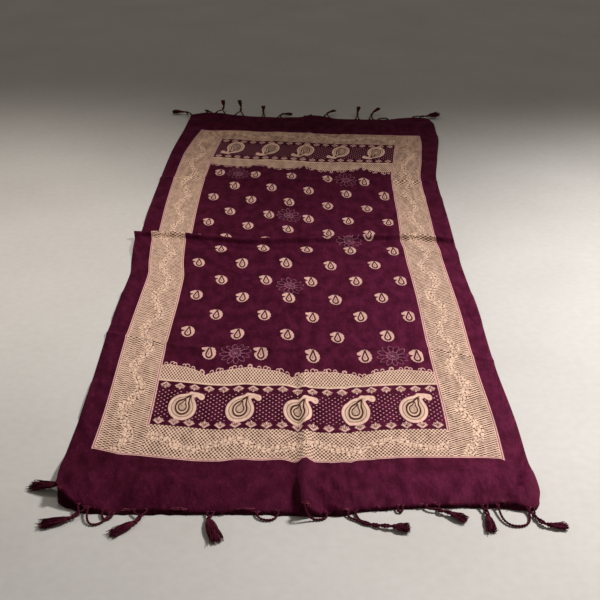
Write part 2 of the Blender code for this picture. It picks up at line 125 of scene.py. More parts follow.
class FoldStation(NamedTuple):
    """The middle fold at one place across the cloth, with the scale of its height and its tucked depth."""

    across: float
    y: float
    height: float
    tuck: float


class SoftFold(NamedTuple):
    """A soft ridge, or a trough if its height is below zero, along a straight run."""

    x0: float
    y0: float
    x1: float
    y1: float
    height: float
    reach: float


def rows_of(kind: type, *rows: tuple) -> tuple:
    """A table: one named row for each plain one."""
    return tuple(kind(*row) for row in rows)


NEAR_HEM = rows_of(
    HemPoint,
    (-0.35, -0.845, 0.0235, 0.034, 0.011, 0.003),
    (-0.334, -0.857, 0.0165, 0.03, 0.011, 0.002),
    (-0.318, -0.865, 0.0095, 0.024, 0.011, 0.001),
    (-0.286, -0.8696, 0.007, 0.022, 0.0105),
    (-0.268, -0.8725, 0.0055, 0.022, 0.01),
    (-0.225, -0.8695, 0.006, 0.03, 0.009),
    (-0.185, -0.87, 0.0055, 0.03, 0.0085),
    (-0.149, -0.874, 0.0045, 0.032, 0.008),
    (-0.118, -0.875, 0.0045, 0.032, 0.007),
    (-0.085, -0.8705, 0.005, 0.032, 0.0065),
    (-0.056, -0.8734, 0.004, 0.032, 0.006),
    (-0.023, -0.8716, 0.004, 0.032, 0.0055),
    (0.002, -0.879, 0.003, 0.032, 0.005),
    (0.03, -0.876, 0.0035, 0.032, 0.0055),
    (0.06, -0.875, 0.0035, 0.032, 0.006),
    (0.088, -0.8693, 0.004, 0.032, 0.006),
    (0.125, -0.8652, 0.0045, 0.032, 0.006),
    (0.18, -0.8605, 0.005, 0.032, 0.0065),
    (0.24, -0.8602, 0.0055, 0.032, 0.008),
    (0.277, -0.8602, 0.0065, 0.03, 0.0095),
    (0.305, -0.8605, 0.0095, 0.026, 0.011),
    (0.328, -0.8668, 0.007, 0.02, 0.013),
    (0.342, -0.8635, 0.0045, 0.018, 0.011),
    (0.35, -0.852, 0.003, 0.018, 0.009),
)

NEAR_CREASE = rows_of(
    CrossLine,
    (-0.35, -0.393), (-0.29, -0.408), (-0.21, -0.436), (-0.15, -0.447),
    (0.05, -0.447), (0.24, -0.446), (0.31, -0.47), (0.35, -0.486),
)

FAR_CREASE = rows_of(
    CrossLine,
    (-0.35, 0.371), (-0.27, 0.377), (-0.15, 0.361), (0.0, 0.355),
    (0.18, 0.352), (0.35, 0.346),
)

FAR_HEM = rows_of(
    HemPoint,
    (-0.35, 0.86, 0.01, 0.03, 0.006),
    (-0.29, 0.862, 0.015, 0.03, 0.008),
    (-0.21, 0.857, 0.008, 0.03, 0.005),
    (-0.11, 0.85, 0.004, 0.03, 0.004),
    (-0.04, 0.842, 0.007, 0.03, 0.0055),
    (0.02, 0.838, 0.014, 0.03, 0.008),
    (0.09, 0.832, 0.005, 0.03, 0.0045),
    (0.21, 0.829, 0.004, 0.03, 0.0045),
    (0.3, 0.832, 0.009, 0.03, 0.006),
    (0.334, 0.831, 0.0085, 0.028, 0.006),
    (0.35, 0.823, 0.007, 0.024, 0.006),
)

SELVEDGES = rows_of(
    Selvedge,
    (0.0, -0.3545, 0.323), (0.05, -0.363, 0.327), (0.18, -0.368, 0.3262),
    (0.5, -0.365, 0.3285), (1.0, -0.3675, 0.324), (1.5, -0.3655, 0.3265),
    (1.8, -0.3625, 0.324), (2.0, -0.369, 0.3225), (2.42, -0.3785, 0.3185),
    (2.62, -0.377, 0.319), (3.0, -0.369, 0.3245), (3.4, -0.37, 0.3275),
    (4.0, -0.367, 0.3295), (4.35, -0.363, 0.3505), (4.74, -0.349, 0.374),
    (4.92, -0.34, 0.3745), (5.0, -0.337, 0.364),
)

CENTRE_CREASES = rows_of(
    CentreCrease,
    (0.0, 0.008, 0.021, 0.015, 0.026), (0.14, 0.011, 0.0185, 0.013, 0.02),
    (0.23, 0.0125, 0.0145, 0.012, 0.017), (0.31, 0.013, 0.01, 0.01, 0.014),
    (0.45, 0.0125, 0.0075, 0.009, 0.012), (0.62, 0.012, 0.0058, 0.008, 0.011),
    (1.8, 0.012, 0.0048, 0.008, 0.012), (2.0, 0.012, 0.0, 0.009, 0.012),
    (3.0, 0.012, 0.0, 0.009, 0.012), (3.2, 0.012, 0.0032, 0.009, 0.012),
    (4.0, 0.004, 0.003, 0.009, 0.012), (4.8, 0.0, 0.004, 0.012, 0.018),
    (5.0, 0.0, 0.002, 0.016, 0.024),
)

FOLD_LINE = rows_of(
    FoldStation,
    (-0.35, 0.019, 0.92, 0.013), (-0.27, 0.014, 1.0, 0.015), (-0.18, -0.003, 0.9, 0.019),
    (-0.09, -0.021, 0.98, 0.023), (0.0, -0.018, 1.06, 0.027), (0.09, -0.012, 0.96, 0.031),
    (0.16, -0.002, 0.98, 0.035), (0.26, -0.001, 1.04, 0.039), (0.35, -0.015, 0.94, 0.043),
)

FOLD_SECTION = rows_of(
    FoldSection,
    (-0.11, 0.0006, 0.0, 1.0), (-0.095, 0.0014, 0.0, 1.0), (-0.075, 0.005, 0.0, 1.0),
    (-0.052, 0.0096, 0.0, 1.0), (-0.034, 0.009, 0.0, 1.0), (-0.02, 0.0076, 0.0, 0.5),
    (-0.012, 0.0076, 0.0, 0.5), (-0.0072, 0.0098, 0.0, 1.0), (-0.0045, 0.0142, 0.0, 1.0),
    (-0.002, 0.0184, 0.0, 1.0), (0.001, 0.0198, 0.0, 1.0), (0.0038, 0.0182, 0.0, 1.0),
    (0.0056, 0.0138, 0.0, 1.0), (0.0062, 0.0092, 0.0, 0.6), (0.005, 0.0058, 0.0, 0.0),
    (0.0016, 0.0043, 0.0, 0.0), (-0.004, 0.0041, 0.2, 0.0), (0.004, 0.0041, 1.0, 0.0),
    (0.0015, 0.0038, 1.0, 0.0), (0.0, 0.0024, 1.0, 0.0), (0.0015, 0.001, 1.0, 0.0),
    (0.004, 0.0006, 1.0, 0.0), (0.0, 0.0006, 0.2, 0.0), (0.012, 0.0006, 0.0, 0.0),
    (0.03, 0.0006, 0.0, 0.0),
)

SOFT_FOLDS = rows_of(
    SoftFold,
    (0.022, -0.79, 0.07, -0.862, 0.004, 0.006),
    (0.016, -0.827, 0.035, -0.872, 0.0045, 0.005),
    (0.044, -0.87, 0.092, -0.825, 0.006, 0.008),
    (0.009, -0.834, 0.036, -0.861, -0.004, 0.0055),
    (0.317, -0.768, 0.3, -0.8, -0.006, 0.006),
    (0.299, -0.806, 0.294, -0.824, -0.0085, 0.006),
    (0.318, -0.797, 0.312, -0.848, 0.0045, 0.006),
    (0.279, -0.81, 0.294, -0.857, 0.003, 0.008),
    (-0.29, -0.785, -0.271, -0.861, -0.0055, 0.017),
    (-0.327, -0.814, -0.318, -0.836, -0.003, 0.008),
    (-0.347, -0.792, -0.334, -0.84, 0.0025, 0.008),
    (-0.231, -0.807, -0.135, -0.829, 0.002, 0.012),
    (0.16, -0.807, 0.235, -0.789, 0.0018, 0.012),
    (-0.358, -0.56, -0.366, -0.64, 0.003, 0.01),
    (-0.362, -0.24, -0.366, -0.33, 0.0025, 0.01),
    (0.322, -0.34, 0.325, -0.25, 0.0025, 0.01),
    (0.06, 0.19, 0.25, 0.15, 0.003, 0.014),
    (0.15, 0.3, 0.32, 0.235, 0.003, 0.014),
    (-0.36, 0.11, -0.355, 0.19, 0.003, 0.012),
    (0.345, 0.52, 0.37, 0.68, 0.004, 0.016),
)

# Where the near hem's turned-down edge meets the floor
TURN_UNDER = rows_of(
    CrossLine,
    (-0.35, -0.8545), (-0.331, -0.8656), (-0.304, -0.8747), (-0.285, -0.8763),
    (-0.256, -0.8771), (-0.185, -0.8771), (-0.113, -0.8771), (-0.056, -0.8775),
    (-0.02, -0.8792), (0.002, -0.8802), (0.045, -0.8812), (0.069, -0.8781),
    (0.088, -0.872), (0.125, -0.8679), (0.161, -0.8647), (0.197, -0.8627),
    (0.277, -0.8633), (0.305, -0.8654), (0.333, -0.8699), (0.343, -0.8665),
    (0.35, -0.8555),
)


def smooth_read(places: list[float], values: list[float], at: Array) -> Array:
    """Read a curve that is smooth and never overshoots its points.

    Each stretch is the cubic through its two ends with their slopes, and a slope is the harmonic mean of the
    two rises beside its point, or zero where they differ in sign.

    Args:
        places: The points' places, rising.
        values: The points' values.
        at: The places to read, of any shape.

    Returns:
        The values there, in the shape of at.
    """
    x = np.asarray(places, float)
    y = np.asarray(values, float)
    run = np.diff(x)
    rise = np.diff(y) / run
    slope = np.concatenate(([rise[0]], np.zeros(len(run) - 1), [rise[-1]]))
    same_way = rise[:-1] * rise[1:] > 0
    mean = 2 * rise[:-1] * rise[1:] / np.where(same_way, rise[:-1] + rise[1:], 1.0)
    slope[1:-1] = np.where(same_way, mean, 0.0)
    at = np.clip(at, x[0], x[-1])
    i = np.clip(np.searchsorted(x, at, side="right") - 1, 0, len(run) - 1)
    t = (at - x[i]) / run[i]
    start = y[i] * (1 + 2 * t) * (1 - t) ** 2 + y[i + 1] * t**2 * (3 - 2 * t)
    return start + run[i] * (slope[i] * t * (1 - t) ** 2 - slope[i + 1] * t**2 * (1 - t))


def read(table: tuple, key: str, name: str, at: Array) -> Array:
    """Read one named column of a table against another.

    Args:
        table: The table's rows.
        key: The column that places the rows.
        name: The column to read.
        at: The places to read.

    Returns:
        The column's values there.
    """
    keys = [getattr(row, key) for row in table]
    return smooth_read(keys, [getattr(row, name) for row in table], at)


@dataclass
class ClothForm:
    """The middle surface of the laid cloth, as a function of across and line."""

    crease_height: float = 0.0045
    crease_reach: float = 0.009
    centre_bend: float = 1.4
    centre_bend_left: float = 1.08
    puff_reach: float = 0.11
    puff_scale: float = 27 / 4
    curl_bend: float = 1.3
    fold_near_reach: float = 0.11
    fold_far_reach: float = 0.03
    fold_clear: float = 0.12
    hem_uneven: float = 0.0007

    def x(self, across: Array, line: Array) -> Array:
        """The x of a lengthwise thread: its share of the way from the left selvedge to the right one."""
        left, right = (read(SELVEDGES, "line", side, line) for side in ("left", "right"))
        return left + (right - left) * (across + HALF_WIDTH) / CLOTH_WIDTH

    def lines(self, across: Array) -> Array:
        """The y of the six lines that cross the cloth, a row for each.

        Args:
            across: Places across the cloth.

        Returns:
            The lines, numbered along the first axis.
        """
        tables = (NEAR_HEM, NEAR_CREASE, FOLD_LINE, FAR_CREASE, FAR_HEM)
        near, near_crease, fold, far_crease, far = (read(table, "across", "y", across) for table in tables)
        fold_sides = (fold - self.fold_near_reach, fold + self.fold_far_reach)
        return np.stack([near + self.hem_wave(across), near_crease, *fold_sides, far_crease, far])

    def hem_wave(self, across: Array) -> Array:
        """The near hem's small unevenness: a sum of three sines of unlike lengths."""
        waves = ((131, 0.4), (203, 2.1), (287, 4.4))
        return sum(np.sin(rate * across + phase) for rate, phase in waves) * self.hem_uneven

    def hem(self, table: tuple, across: Array, inward: Array) -> tuple[Array, Array]:
        """The lift and the backward lean of the cloth beside a hem.

        The lift is the edge's height, fading as a power of the distance from it, and a swell that rises and
        falls as the cubic t(1 - t)(1 - t) over its reach.

        Args:
            table: The hem's points.
            across: Places across the cloth.
            inward: Distances inward from the hem.

        Returns:
            The lift, and the lean.
        """
        rolled = np.clip(1 - inward / read(table, "across", "curl", across), 0, 1)
        t = np.clip(inward / self.puff_reach, 0, 1)
        swell = self.puff_scale * t * (1 - t) ** 2 * read(table, "across", "puff", across)
        lift = read(table, "across", "edge", across) * rolled**self.curl_bend + swell
        return lift, read(table, "across", "lean", across) * rolled**2

    def centre(self, across: Array, line: Array) -> Array:
        """The lift of the lengthwise crease: a power of the nearness to it, with its own reach on each side.

        Args:
            across: Places across the cloth.
            line: Line values.

        Returns:
            The lift.
        """
        off = across - read(CENTRE_CREASES, "line", "across", line)
        left = read(CENTRE_CREASES, "line", "left", line)
        right = read(CENTRE_CREASES, "line", "right", line)
        share = np.clip(1 - np.abs(off) / np.where(off < 0, left, right), 0, 1)
        bend = np.where(off < 0, self.centre_bend_left, self.centre_bend)
        return read(CENTRE_CREASES, "line", "height", line) * share**bend

    def soft(self, x: Array, y: Array) -> Array:
        """The sum of the soft folds, each a smooth bell of the distance from its run.

        Args:
            x: Places in x, on the laid cloth.
            y: Places in y, on the laid cloth.

        Returns:
            The lift.
        """
        lift = np.zeros_like(x)
        for fold in SOFT_FOLDS:
            run = np.array([fold.x1 - fold.x0, fold.y1 - fold.y0])
            t = np.clip(((x - fold.x0) * run[0] + (y - fold.y0) * run[1]) / (run @ run), 0, 1)
            away = np.hypot(x - fold.x0 - t * run[0], y - fold.y0 - t * run[1])
            lift += fold.height * np.clip(1 - (away / (2 * fold.reach)) ** 2, 0, 1) ** 2
        return lift

    def laid(self, line: Array, across: Array) -> Array:
        """Points of the flat-lying stretches, straight between two lines, with every lift added.

        Args:
            line: Line values that lie in 0 to 2 or in 3 to 5.
            across: Places across the cloth.

        Returns:
            The points, with x, y and z last.
        """
        line, across = np.broadcast_arrays(line, across)
        index = np.minimum(line.astype(int), 4)
        lines = self.lines(across)
        here = np.take_along_axis(lines, index[None], 0)[0]
        ahead = np.take_along_axis(lines, index[None] + 1, 0)[0]
        y = here + (ahead - here) * (line - index)
        x = self.x(across, line)
        near_lift, near_lean = self.hem(NEAR_HEM, across, y - lines[0])
        far_lift, far_lean = self.hem(FAR_HEM, across, lines[5] - y)
        creases = sum(np.exp(-np.abs(y - lines[i]) / self.crease_reach) for i in (1, 4))
        lift = near_lift + far_lift + self.crease_height * creases
        lift = lift + self.centre(across, line) + self.soft(x, y)
        lift = lift * np.clip(np.minimum(abs(line - 2), abs(line - 3)) / self.fold_clear, 0, 1)
        return np.stack([x, y + near_lean - far_lean, CLOTH_WALL / 2 + lift], axis=-1)

    def fold(self, share: Array, across: Array) -> Array:
        """Points of the middle fold: its section, carried across the cloth and scaled at each station.

        Args:
            share: The share of the way from the fold's near side to its far side.
            across: Places across the cloth.

        Returns:
            The points, with x, y and z last.
        """
        share, across = np.broadcast_arrays(share, across)
        step = share * (len(FOLD_SECTION) - 1)
        steps = list(range(len(FOLD_SECTION)))
        place, height, tuck, lift = (
            smooth_read(steps, [getattr(p, name) for p in FOLD_SECTION], step)
            for name in ("place", "height", "tuck", "lift")
        )
        y = read(FOLD_LINE, "across", "y", across) + place - tuck * read(FOLD_LINE, "across", "tuck", across)
        scale = 1 + (read(FOLD_LINE, "across", "height", across) - 1) * lift
        return np.stack([self.x(across, 2 + share), y, height * scale], axis=-1)


class PrintRow(NamedTuple):
    """Places of the print on the laid cloth, at one distance from the near hem on the loom."""

    woven: float
    laid: tuple


WOVEN_LENGTH = 1.7602
OUTER_SIDE = 0.3135
INNER_SIDE = 0.2345

# How far along the laid cloth each woven distance lies, at five places across it
PRINT_STATIONS = (-0.31, -0.16, 0.0, 0.16, 0.31)
PRINT_LINES = rows_of(
    PrintRow,
    (0.0, (0.0, 0.0, 0.0, 0.0, 0.0)),
    (0.112, (0.1395, 0.1163, 0.1165, 0.1105, 0.1098)),
    (0.19, (0.216, 0.1975, 0.1915, 0.1815, 0.1812)),
    (0.319, (0.344, 0.32, 0.3135, 0.3045, 0.3085)),
    (0.416, (0.4344, 0.4195, 0.4134, 0.3947, 0.3911)),
    (0.6302, (0.6464, 0.63, 0.6229, 0.6122, 0.6086)),
    (0.773, (0.7894, 0.773, 0.7714, 0.7557, 0.7511)),
    (0.8444, (0.8464, 0.827, 0.8269, 0.8057, 0.7981)),
    (1.0586, (1.0584, 1.0455, 1.0289, 1.0097, 1.0071)),
    (1.13, (1.1284, 1.116, 1.0959, 1.0757, 1.0761)),
    (1.2014, (1.2024, 1.193, 1.1859, 1.1457, 1.1381)),
    (1.2728, (1.2824, 1.274, 1.2679, 1.2327, 1.2221)),
    (1.3442, (1.3604, 1.356, 1.3569, 1.3137, 1.2981)),
    (1.3867, (1.4184, 1.4045, 1.4009, 1.3877, 1.3851)),
    (1.4412, (1.4754, 1.4635, 1.4657, 1.4542, 1.4641)),
    (1.5702, (1.6199, 1.6092, 1.6109, 1.5954, 1.5971)),
    (1.6482, (1.6859, 1.686, 1.6894, 1.6772, 1.6806)),
    (1.7602, (1.7774, 1.8015, 1.8125, 1.8033, 1.8021)),
)

# Where the frame's four lengthwise edges lie across the laid cloth, from left to right
PRINT_SIDES = rows_of(
    PrintRow,
    (0.0, (-0.315, -0.237, 0.235, 0.3155)),
    (0.4, (-0.314, -0.235, 0.2395, 0.317)),
    (0.6, (-0.312, -0.2335, 0.2365, 0.315)),
    (0.78, (-0.3125, -0.238, 0.2363, 0.315)),
    (1.0, (-0.311, -0.235, 0.2325, 0.31)),
    (1.25, (-0.316, -0.237, 0.2345, 0.31)),
    (1.45, (-0.315, -0.234, 0.236, 0.31)),
    (1.57, (-0.307, -0.2312, 0.235, 0.3065)),
    (1.65, (-0.3, -0.229, 0.235, 0.301)),
    (1.76, (-0.295, -0.227, 0.235, 0.299)),
)

# The outline flowers' places on the loom, across and along
FLOWERS = np.array([
    (-0.109, 0.416), (0.169, 0.416), (-0.0155, 0.6794), (0.1225, 0.894),
    (-0.0175, 1.136), (-0.155, 1.3442), (0.1195, 1.3442),
])


def new_object(name: str, mesh: bpy.types.Mesh) -> bpy.types.Object:
    """Put a mesh in the scene under a name."""
    thing = bpy.data.objects.new(name, mesh)
    bpy.context.scene.collection.objects.link(thing)
    return thing


def mesh_of(name: str, points: Array, faces: list[Array]) -> bpy.types.Mesh:
    """Make a mesh from whole arrays.

    Args:
        name: The mesh's name.
        points: One point a row.
        faces: Arrays of corner numbers, each array with faces of one size.

    Returns:
        The mesh, shaded smooth.
    """
    mesh = bpy.data.meshes.new(name)
    mesh.from_pydata(points.tolist(), [], [f for block in faces for f in block.tolist()])
    mesh.shade_smooth()
    return mesh


def grid_faces(rows: int, columns: int, around: bool = False, first: int = 0) -> Array:
    """The four-cornered faces of a grid of points.

    Args:
        rows: Points along the first parameter.
        columns: Points along the second parameter.
        around: Whether the second parameter closes on itself.
        first: The number of the grid's first point.

    Returns:
        One face a row.
    """
    number = first + np.arange(rows * columns).reshape(rows, columns)
    if around:
        number = np.concatenate([number, number[:, :1]], axis=1)
    corners = [number[:-1, :-1], number[:-1, 1:], number[1:, 1:], number[1:, :-1]]
    return np.stack(corners, axis=-1).reshape(-1, 4)


def bent(points: tuple, steps: int) -> Array:
    """Points along the cubic curve that four points steer.

    Args:
        points: The start, the two steering points and the end.
        steps: How many steps to take.

    Returns:
        One point a row.
    """
    t = np.linspace(0, 1, steps + 1)[:, None]
    a, b, c, d = points
    return a * (1 - t) ** 3 + b * 3 * t * (1 - t) ** 2 + c * 3 * t**2 * (1 - t) + d * t**3


def run_along(points: Array) -> Array:
    """The distance from a path's start at each of its points, which lie along the first axis."""
    steps = np.linalg.norm(np.diff(points, axis=0), axis=-1)
    return np.concatenate([np.zeros_like(steps[:1]), np.cumsum(steps, axis=0)])


def even_steps(path: Array, step: float) -> Array:
    """Points at even distances along a path of straight runs.

    Args:
        path: The path's points.
        step: The distance to aim at.

    Returns:
        One point a row.
    """
    run = run_along(path)
    at = np.linspace(0, run[-1], max(4, int(round(run[-1] / step)) + 1))
    return np.stack([np.interp(at, run, path[:, k]) for k in range(3)], axis=1)


def unit(vectors: Array) -> Array:
    """Vectors scaled to length one."""
    return vectors / np.maximum(np.linalg.norm(vectors, axis=-1, keepdims=True), 1e-12)


@dataclass
class StoleCloth:
    """The woven cloth: a thin closed shell on the laid form, with its woven coordinates."""

    form: ClothForm = field(default_factory=ClothForm)
    wall: float = CLOTH_WALL
    columns: int = 148
    panel_rows: int = 58
    fold_rows: int = 84
    side_bunching: float = 0.1
    end_bunching: float = 0.65
    turn_rows: int = 5
    turn_bulge: float = 0.18
    turn_shift: float = 0.012
    turn_wave: float = 0.8
    turn_least: float = 0.0005
    turn_foot: float = 0.6
    ripple: float = 0.0005
    ripple_from: float = 0.0006
    ripple_rise: float = 0.004
    ripple_share: float = 0.4
    last_run: float = 0.02
    lowest: float = 0.0001
    chart_margin: float = 0.006
    chart_skin: float = 0.485
    chart_under: float = 0.335
    chart_rim: float = 0.99
    name: str = "stole_cloth"

    def row_places(self) -> tuple[Array, Array, Array]:
        """Line values of the rows before, in and after the middle fold, closer together near each line."""
        t = np.linspace(0, 1, self.panel_rows, endpoint=False)
        bunched = t - self.end_bunching * np.sin(2 * np.pi * t) / (2 * np.pi)
        before = np.concatenate([bunched, 1 + bunched])
        after = np.concatenate([3 + bunched, 4 + bunched, [5.0]])
        return before, np.linspace(0, 1, self.fold_rows, endpoint=False), after

    def ripples(self, points: Array) -> Array:
        """A slight unevenness of the laid cloth: a sum of plane waves of unlike lengths and directions."""
        x, y = points[..., 0], points[..., 1]
        waves = ((61, 17, 0.3), (-23, 48, 1.9), (97, -35, 4.1))
        waves += ((35, 83, 2.2), (-118, 64, 5.3), (12, -27, 0.9))
        return sum(np.sin(a * x + b * y + c) for a, b, c in waves) * self.ripple / 2

    def middle_surface(self) -> tuple[Array, Array]:
        """The cloth's middle surface: the laid form, with ripples that grow where the cloth is off the floor.

        Returns:
            The points as rows by columns, and the across value of each column.
        """
        t = np.linspace(-1, 1, self.columns)
        across = HALF_WIDTH * (t + self.side_bunching * np.sin(np.pi * t))
        before, folded, after = self.row_places()
        near = self.form.laid(before[:, None], across[None])
        fold = self.form.fold(folded[:, None], across[None])
        far = self.form.laid(after[:, None], across[None])
        flat = np.concatenate([near, fold, far])
        lifted = np.clip((flat[..., 2] - self.wall) / self.ripple_rise, 0, 1)
        share = self.ripple_share + (1 - self.ripple_share) * lifted
        share = np.where(flat[..., 2] > self.ripple_from, share, 0.0)
        flat[..., 2] += (self.ripples(flat) + self.ripple) * share
        turned = self.turned_edge(across, flat[0])
        return np.concatenate([turned, flat]) + STOLE_PLACE, across

    def turned_edge(self, across: Array, crest: Array) -> Array:
        """The near hem's last rows, which bend over its raised edge and come down to the floor.

        Each thread runs straight from the crest to the floor line. Its bulge is a half sine of the way down
        and grows with the crest's height.

        Args:
            across: The across value of each column.
            crest: The points along the hem's edge.

        Returns:
            The rows from the floor up to the edge, without the edge itself.
        """
        foot = crest.copy()
        wave = self.form.hem_wave(across + self.turn_shift) * self.turn_wave
        under = read(TURN_UNDER, "across", "y", across) + wave
        foot[:, 1] = np.minimum(under, crest[:, 1] - self.turn_least)
        foot[:, 2] = self.wall * self.turn_foot
        down = np.linspace(1, 0, self.turn_rows, endpoint=False)[:, None, None]
        rows = crest + (foot - crest) * down
        rows[..., 1] -= self.turn_bulge * crest[:, 2] * np.sin(np.pi * down[..., 0])
        return rows

    def woven_places(self, points: Array, across: Array) -> Array:
        """Where each point of the laid cloth lies on the loom.

        Along a thread, the laid length is read against the woven lines. The near hem's small waves are taken
        off it first, so that the print's lines stay straight behind a wavy edge.

        Args:
            points: The middle surface.
            across: The across value of each column.

        Returns:
            Across and along distances on the loom, last.
        """
        laid = run_along(points)
        laid += self.form.hem_wave(across) - laid[self.turn_rows]
        lines = np.stack([smooth_read(PRINT_STATIONS, row.laid, across) for row in PRINT_LINES])
        lines[-1] = np.maximum(laid[-1], lines[-2] + self.last_run)
        woven = [row.woven for row in PRINT_LINES]
        along = np.stack([np.interp(laid[:, i], lines[:, i], woven) for i in range(len(across))], axis=1)
        along = np.where(laid < 0, laid, along)
        return np.stack([self.woven_across(across, along), along], axis=-1)

    def woven_across(self, across: Array, along: Array) -> Array:
        """The across distance on the loom, straight between the print's lengthwise lines and the selvedges.

        Args:
            across: The across value of each column.
            along: Each point's distance along the loom.

        Returns:
            Each point's distance across the loom, from its middle.
        """
        woven = [row.woven for row in PRINT_SIDES]
        lines = [np.interp(along, woven, laid) for laid in zip(*(row.laid for row in PRINT_SIDES))]
        border = np.full(along.shape, HALF_WIDTH)
        laid = [-border, *lines, border]
        loom = (-HALF_WIDTH, -OUTER_SIDE, -INNER_SIDE, INNER_SIDE, OUTER_SIDE, HALF_WIDTH)
        place = np.full(along.shape, -HALF_WIDTH)
        for i in range(len(loom) - 1):
            share = np.clip((across - laid[i]) / (laid[i + 1] - laid[i]), 0, 1)
            place += share * (loom[i + 1] - loom[i])
        return place

    def build(self) -> bpy.types.Object:
        """Model the shell: a skin half a wall above the middle surface, one below, and a rim between them."""
        middle, across = self.middle_surface()
        rows, columns = middle.shape[:2]
        down, over = np.gradient(middle, axis=0), np.gradient(middle, axis=1)
        normal = unit(np.cross(over, down))
        upper = middle + normal * self.wall / 2
        under = middle - normal * self.wall / 2
        upper[..., 2] = np.maximum(upper[..., 2], self.wall / 2)
        under[..., 2] = np.maximum(under[..., 2], self.lowest)
        count = rows * columns
        top = grid_faces(rows, columns)
        bottom = grid_faces(rows, columns, first=count)[:, ::-1]
        number = np.arange(count).reshape(rows, columns)
        ring = np.concatenate([number[0], number[1:, -1], number[-1, -2::-1], number[-2:0:-1, 0]])
        after = np.roll(ring, -1)
        rim = np.stack([after, ring, ring + count, after + count], axis=-1)
        points = np.concatenate([upper.reshape(-1, 3), under.reshape(-1, 3)])
        mesh = mesh_of(self.name, points, [top, bottom, rim])
        self.add_maps(mesh, middle, self.woven_places(middle, across))
        return new_object(self.name, mesh)

    def add_maps(self, mesh: bpy.types.Mesh, points: Array, woven: Array) -> None:
        """Give the shell its maps: places on the loom, places about the outline flowers, and one to bake on.

        Args:
            mesh: The shell's mesh, its faces in the order top, bottom, rim.
            points: The middle surface as rows by columns.
            woven: Each point's place on the loom.
        """
        corners = np.zeros(len(mesh.loops), np.int32)
        mesh.loops.foreach_get("vertex_index", corners)
        flat = woven.reshape(-1, 2)
        place = flat[corners % len(flat)]
        face = place.reshape(-1, 4, 2).mean(axis=1)
        nearest = np.argmin(np.linalg.norm(face[:, None] - FLOWERS[None], axis=2), axis=1)
        about = place - np.repeat(FLOWERS[nearest], 4, axis=0)
        maps = {"woven": place, "flower": about, "OFBake": self.bake_chart(points, corners.reshape(-1, 4))}
        for name, values in maps.items():
            mesh.uv_layers.new(name=name).uv.foreach_set("vector", values.astype(np.float32).ravel())

    def bake_chart(self, points: Array, corners: Array) -> Array:
        """Lay the shell out flat in a unit square.

        The upper skin's two halves lie side by side, the under skin lies across above them at a smaller
        scale, and the rim is a thin strip along the top edge.

        Args:
            points: The middle surface as rows by columns.
            corners: Each face's four vertex numbers.

        Returns:
            A place in the square for each face corner.
        """
        rows, columns = points.shape[:2]
        count = rows * columns
        along, over = (run_along(p).mean(axis=1) for p in (points, points.swapaxes(0, 1)))
        split = int(np.searchsorted(along, along[-1] / 2))
        number = corners % count
        s, t = over[number % columns], along[number // columns]
        first_row = (number // columns).min(axis=1)
        is_far = (first_row >= split)[:, None]
        margin = self.chart_margin
        scale, under_scale = self.chart_skin / over[-1], self.chart_under / over[-1]
        u = np.where(is_far, 0.5 + margin, margin) + s * scale
        v = margin + np.where(is_far, t - along[split], t) * scale
        skin = (rows - 1) * (columns - 1)
        top_height = margin * 2 + max(along[split], along[-1] - along[split]) * scale
        u[skin : 2 * skin] = margin + t[skin : 2 * skin] * under_scale
        v[skin : 2 * skin] = top_height + s[skin : 2 * skin] * under_scale
        ring = len(corners) - 2 * skin
        place = np.arange(ring)[:, None] / ring * (1 - 2 * margin) + margin
        u[2 * skin :] = place + np.array([1, 0, 0, 1]) / ring * (1 - 2 * margin)
        v[2 * skin :] = self.chart_rim + np.array([0, 0, 1, 1]) * margin
        return np.stack([u, v], axis=-1)


class Tassel(NamedTuple):
    """Two twisted cords from the hem to a knot, with a tuft beyond it.

    The roots are places in x along the hem, and spread is the tuft's half width at its tip.
    """

    root_a: float
    root_b: float
    knot_x: float
    knot_y: float
    knot_z: float
    tip_x: float
    tip_y: float
    tip_z: float
    spread: float


class CordLoop(NamedTuple):
    """A twisted cord that leaves the hem, lies in a loop and comes back to it.

    The roots are places in x along the hem, and turn is how wide it turns at its reach.
    """

    root_a: float
    root_b: float
    reach_x: float
    reach_y: float
    turn: float


NEAR_TASSELS = rows_of(
    Tassel,
    (-0.3528, -0.3505, -0.359, -0.829, 0.014, -0.401, -0.8175, 0.003, 0.015),
    (-0.323, -0.313, -0.332, -0.89, 0.005, -0.368, -0.9, 0.004, 0.0125),
    (-0.245, -0.227, -0.24, -0.8975, 0.0052, -0.269, -0.9185, 0.004, 0.011),
    (-0.143, -0.134, -0.1395, -0.8915, 0.005, -0.1255, -0.9315, 0.004, 0.014),
    (0.052, 0.063, 0.115, -0.9062, 0.0052, 0.1345, -0.9075, 0.0045, 0.013),
    (0.162, 0.18, 0.1935, -0.879, 0.0052, 0.215, -0.8905, 0.0045, 0.011),
    (0.2405, 0.2475, 0.245, -0.885, 0.0052, 0.247, -0.913, 0.004, 0.01),
    (0.305, 0.312, 0.329, -0.903, 0.0048, 0.35, -0.903, 0.004, 0.0095),
)

